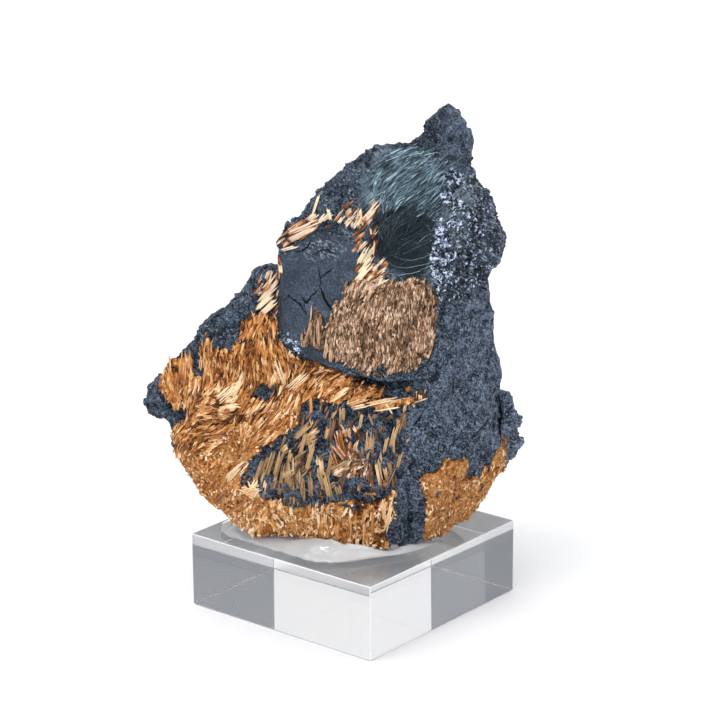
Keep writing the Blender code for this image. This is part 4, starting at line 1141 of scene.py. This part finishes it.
def strewn(region, number, lengths, widths, tones, seed, spread):
    """Laths at random places of a region, running as its grain does."""
    chance = random.Random(seed)
    outline = REGIONS[region][1]
    laths = []
    while len(laths) < number:
        x = chance.uniform(min(p[0] for p in outline), max(p[0] for p in outline))
        z = chance.uniform(min(p[1] for p in outline), max(p[1] for p in outline))
        angle = grain_angle(x, z) + math.radians(chance.gauss(0, spread))
        if math.sin(angle) < 0:
            angle += math.pi
        length = chance.uniform(*lengths)
        tip_x, tip_z = x + length * math.cos(angle), z + length * math.sin(angle)
        if in_region(region, x, z) and in_region(region, tip_x, tip_z):
            laths.append((x, z, tip_x, tip_z, chance.uniform(*widths), chance.uniform(*tones)))
    return laths


def lay_laths(needles, laths, height, broad=1.0, seed=11):
    """Adds laths, each as fibres side by side from its root to its tip."""
    skin = the_skin()
    chance = random.Random(seed)
    for x1, z1, x2, z2, width, tone in laths:
        width *= broad
        number = max(2, round(width / LATH_FIBRE))
        lift = chance.uniform(0.2, 0.5)
        for place in range(number):
            aside = (place - (number - 1) / 2) * width / number
            length = math.hypot(x2 - x1, z2 - z1)
            from_x, from_z = x1 - (z2 - z1) / length * aside, z1 + (x2 - x1) / length * aside
            root, normal = skin.hit(-1, from_x, from_z)
            tip, _ = skin.hit(-1, from_x + x2 - x1, from_z + z2 - z1)
            if root is None or tip is None or (tip - root).length > LONGEST_BRIDGE * length * MM:
                continue
            direction = tip + normal * lift * MM - root
            reach = direction.length * chance.uniform(0.68, 1.04)
            direction = (direction.normalized() + normal.orthogonal() * chance.uniform(-0.02, 0.02)).normalized()
            root = root + normal * height * MM + direction * chance.uniform(0, 0.14) * length * MM
            shade = tone + chance.uniform(-0.22, 0.12)
            needles.add(root, direction, normal, reach, width / number * 1.2 * MM, shade, 0.08)


class SPECIMEN_OT_stone(bpy.types.Operator):
    """Makes the hematite: a broken stone with a smooth face, a fibrous hollow, cracks and glittering crystals"""

    bl_idname = "specimen.stone"
    bl_label = "Hematite"

    def execute(self, context):
        look = context.scene.specimen_stone
        dressed("hematite_stone", stone_mesh(look), hematite_finish(look), ["hematite"])

        finish = line_finish("crack_finish", (0.001, 0.001, 0.002), (0.008, 0.009, 0.012))
        cracks = line_mesh("hematite_cracks", CRACKS, lift=0.06, jitter=0.09)
        dressed("hematite_cracks", cracks, finish)
        finish = line_finish("lip_finish", (0.10, 0.15, 0.17), (0.34, 0.44, 0.48))
        lines = line_mesh("hematite_lip_lines", LIP_LINES, lift=0.05, jitter=0.02)
        dressed("hematite_lip_lines", lines, finish)

        finish = needle_finish(
            "fibre_finish", ((0.008, 0.018, 0.025), (0.06, 0.105, 0.135), (0.26, 0.39, 0.47), look.teal)
        )
        grown(context.scene.specimen_rutile, "hollow", "well").dress("hematite_fibres", finish, "hematite")
        # The brightest crystals take the glint colour: painted glints.
        finish = needle_finish(
            "crystal_finish", ((0.006, 0.010, 0.016), (0.045, 0.066, 0.10), (0.27, 0.35, 0.50), look.glint)
        )
        crystals = grown(context.scene.specimen_rutile, "crystals", "facets", "ear", "rim")
        crystals.dress("hematite_crystals", finish, "hematite")
        return {"FINISHED"}


def orange_stops(look):
    return look.deep, look.orange, look.gold, look.cream


def brown_stops(look):
    return look.shade, look.brown, look.tan, look.pale


class SPECIMEN_OT_mass(bpy.types.Operator):
    """Grows the orange mass, the seam under the ledge, the foot and the fan between them"""

    bl_idname = "specimen.mass"
    bl_label = "Rutile mass"

    def execute(self, context):
        look = context.scene.specimen_rutile
        # The bed's low tone paints the shade between the needles.
        bed = bed_mesh("rutile_mass_bed", ("mass", "seam", "foot"), tone=0.12, lift=0.3)
        finish = bed_finish("orange_bed_finish", orange_stops(look))
        dressed("rutile_mass_bed", bed, finish, ["rutile_mass"])

        finish = needle_finish("orange_needle_finish", orange_stops(look))
        needles = grown(look, "mass", "seam")
        lay_laths(needles, LATHS["mass"], height=0.42, broad=1.25)
        needles.dress("rutile_mass_needles", finish, "rutile_orange")
        grown(look, "foot").dress("rutile_foot_needles", finish, "rutile_orange")

        finish = needle_finish("fan_finish", (look.shade, look.brown, look.ochre, look.cream))
        needles = grown(look, "fan")
        thin = strewn("fan", 46, lengths=(1.6, 4.4), widths=(0.4, 1.0), tones=(0.1, 0.85), seed=8, spread=15)
        lay_laths(needles, thin, height=0.1)
        lay_laths(needles, LATHS["fan"], height=0.15, broad=1.2)
        needles.dress("rutile_fan_needles", finish, "rutile_orange")
        return {"FINISHED"}


class SPECIMEN_OT_mat(bpy.types.Operator):
    """Grows the brown mat of upright fibres on the stone's smooth face"""

    bl_idname = "specimen.mat"
    bl_label = "Rutile mat"

    def execute(self, context):
        look = context.scene.specimen_rutile
        # The bed's low tone paints the shade between the needles.
        bed = bed_mesh("rutile_mat_bed", ("mat", "spray"), tone=0.14, lift=0.22)
        finish = bed_finish("brown_bed_finish", brown_stops(look))
        dressed("rutile_mat_bed", bed, finish, ["rutile_face_mat"])

        finish = needle_finish("brown_needle_finish", brown_stops(look))
        needles = grown(look, "mat", "spray")
        lay_laths(needles, LATHS["mat"], height=0.3)
        needles.dress("rutile_mat_needles", finish, "rutile_brown")
        return {"FINISHED"}


class SPECIMEN_OT_veins(bpy.types.Operator):
    """Grows the pale veins of coarse laths and the small cluster above the foot"""

    bl_idname = "specimen.veins"
    bl_label = "Rutile veins"

    def execute(self, context):
        look = context.scene.specimen_rutile
        finish = needle_finish("vein_needle_finish", (look.deep, look.orange, look.pale, look.cream))
        for name, (slot, regions) in VEINS.items():
            needles = grown(look, *regions)
            lay_laths(needles, LATHS[name], height=0.15, broad=1.2, seed=GROWTHS[regions[0]].seed)
            needles.dress("rutile_" + name + "_needles", finish, slot, ["rutile_" + name])
        return {"FINISHED"}


class SPECIMEN_OT_crusts(bpy.types.Operator):
    """Grows the rusty crusts low on the right and on the back"""

    bl_idname = "specimen.crusts"
    bl_label = "Rutile crusts"

    def execute(self, context):
        look = context.scene.specimen_rutile
        under = bed_finish("crust_bed_finish", orange_stops(look))
        over = needle_finish("crust_needle_finish", orange_stops(look))
        for region in ("right", "back"):
            name = "rutile_" + region + "_crust"
            bed = bed_mesh(name + "_bed", (region,), tone=0.43, lift=0.45)
            dressed(name + "_bed", bed, under, [name])
            grown(look, region).dress(name + "_needles", over, "rutile_orange")
        return {"FINISHED"}


class SPECIMEN_OT_mounting(bpy.types.Operator):
    """Finishes the clear glue and the acrylic block"""

    bl_idname = "specimen.mounting"
    bl_label = "Glue and block"

    def execute(self, context):
        look = context.scene.specimen_block
        finish = (acrylic_finish(look), edge_highlight_finish(look))
        dressed("acrylic_block", block_mesh(), finish, ["acrylic_base"])
        dressed("glue", glue_mesh(), glue_finish(look), ["adhesive"])
        return {"FINISHED"}


class SPECIMEN_OT_studio(bpy.types.Operator):
    """Sets the floor, the light and the camera"""

    bl_idname = "specimen.studio"
    bl_label = "Studio"

    def execute(self, context):
        look = context.scene.specimen_studio
        self.floor(look)
        self.sky(context.scene, look)
        self.lamps(look)
        self.camera(context.scene, look)
        context.scene.view_settings.view_transform = "Standard"
        return {"FINISHED"}

    def floor(self, look):
        shape = bmesh.new()
        bmesh.ops.create_circle(shape, cap_ends=True, segments=64, radius=6.0)
        floor = bpy.data.objects.new("floor", new_mesh("floor", shape))
        floor.location.z = -FLOOR_GAP
        bpy.context.scene.collection.objects.link(floor)
        floor.data.materials.append(floor_finish(look))

    def sky(self, scene, look):
        """A grey room with a soft light overhead and a white wall behind the specimen."""
        world = bpy.data.worlds.new("studio_room")
        graph = Graph(world)
        x, y, z = graph.split(graph.node("ShaderNodeTexCoord"))
        away = y * math.cos(TURN) - x * math.sin(TURN)
        light = look.walls + away.above(0.5, 0.8) * look.wall_behind * z.below(0.45, 0.65)
        light = light + away.below(-0.8, -0.3) * look.front + z.above(0.3, 0.8) * look.overhead
        background = graph.nodes["Background"]
        white = light.above(look.walls, look.walls * 2)
        graph.put(background.inputs["Color"], graph.blend((0.83, 0.90, 1.0), (0.99, 0.99, 1.0), white))
        graph.put(background.inputs["Strength"], light)
        scene.world = world

    def lamps(self, look):
        """A broad key light, and a narrow lamp close by for the crisp glints on the glue and the crystals."""
        key = self.lamp("key", "SUN", look.key, (-0.5, -0.55, 1.1), (0, 0, 0))
        key.angle = math.radians(60)
        strip = self.lamp("strip", "AREA", look.strip, (-0.12, -0.13, 0.5), (0, 0, 0.04))
        strip.shape = "RECTANGLE"
        strip.size, strip.size_y = 0.11, 0.02

    def lamp(self, name, kind, energy, place, target):
        data = bpy.data.lights.new(name, kind)
        data.energy = energy
        lamp = bpy.data.objects.new(name, data)
        place = Matrix.Rotation(TURN, 3, "Z") @ Vector(place)
        lamp.location = place
        lamp.rotation_euler = (Vector(target) - place).to_track_quat("-Z", "Y").to_euler()
        bpy.context.scene.collection.objects.link(lamp)
        return data

    def camera(self, scene, look):
        data = bpy.data.cameras.new("camera")
        data.sensor_width = 36.0
        data.lens = look.lens
        data.clip_start, data.clip_end = 0.01, 20.0
        camera = bpy.data.objects.new("camera", data)
        roll = math.radians(-0.38)
        back = Vector((0, -math.cos(look.elevation), math.sin(look.elevation)))
        level = Vector((1, 0, 0))
        upright = back.cross(level)
        right = math.cos(roll) * level + math.sin(roll) * upright
        up = math.cos(roll) * upright - math.sin(roll) * level
        aside, above = 0.99, 39.73  # in millimetres, from the middle of the block's underside to the picture's middle
        place = back * look.distance + right * aside * MM + up * above * MM
        pose = Matrix((right, up, back)).transposed().to_4x4()
        pose.translation = place
        camera.matrix_world = Matrix.Rotation(TURN, 4, "Z") @ pose
        scene.collection.objects.link(camera)
        scene.camera = camera


OPERATORS = (
    SPECIMEN_OT_stone, SPECIMEN_OT_mass, SPECIMEN_OT_mat, SPECIMEN_OT_veins, SPECIMEN_OT_crusts,
    SPECIMEN_OT_mounting, SPECIMEN_OT_studio,
)
GROUPS = {
    "specimen_stone": StoneSettings, "specimen_rutile": RutileSettings, "specimen_block": BlockSettings,
    "specimen_studio": StudioSettings,
}


class SPECIMEN_PT_panel(bpy.types.Panel):
    """Lists the steps that dress the specimen"""

    bl_idname = "SPECIMEN_PT_panel"
    bl_label = "Rutile on hematite"
    bl_space_type = "VIEW_3D"
    bl_region_type = "UI"
    bl_category = "Specimen"

    def draw(self, context):
        for operator in OPERATORS:
            self.layout.operator(operator.bl_idname)
        for name, group in GROUPS.items():
            box = self.layout.box()
            for key in group.__annotations__:
                box.prop(getattr(context.scene, name), key)


def register():
    for group in GROUPS.values():
        bpy.utils.register_class(group)
    for name, group in GROUPS.items():
        setattr(bpy.types.Scene, name, bpy.props.PointerProperty(type=group))
    for operator in OPERATORS:
        bpy.utils.register_class(operator)
    bpy.utils.register_class(SPECIMEN_PT_panel)


def unregister():
    bpy.utils.unregister_class(SPECIMEN_PT_panel)
    for operator in reversed(OPERATORS):
        bpy.utils.unregister_class(operator)
    for name in GROUPS:
        delattr(bpy.types.Scene, name)
    for group in reversed(list(GROUPS.values())):
        bpy.utils.unregister_class(group)


def main():
    register()
    bpy.ops.specimen.stone()
    bpy.ops.specimen.mass()
    bpy.ops.specimen.mat()
    bpy.ops.specimen.veins()
    bpy.ops.specimen.crusts()
    bpy.ops.specimen.mounting()
    bpy.ops.specimen.studio()


if __name__ == "__main__":
    main()
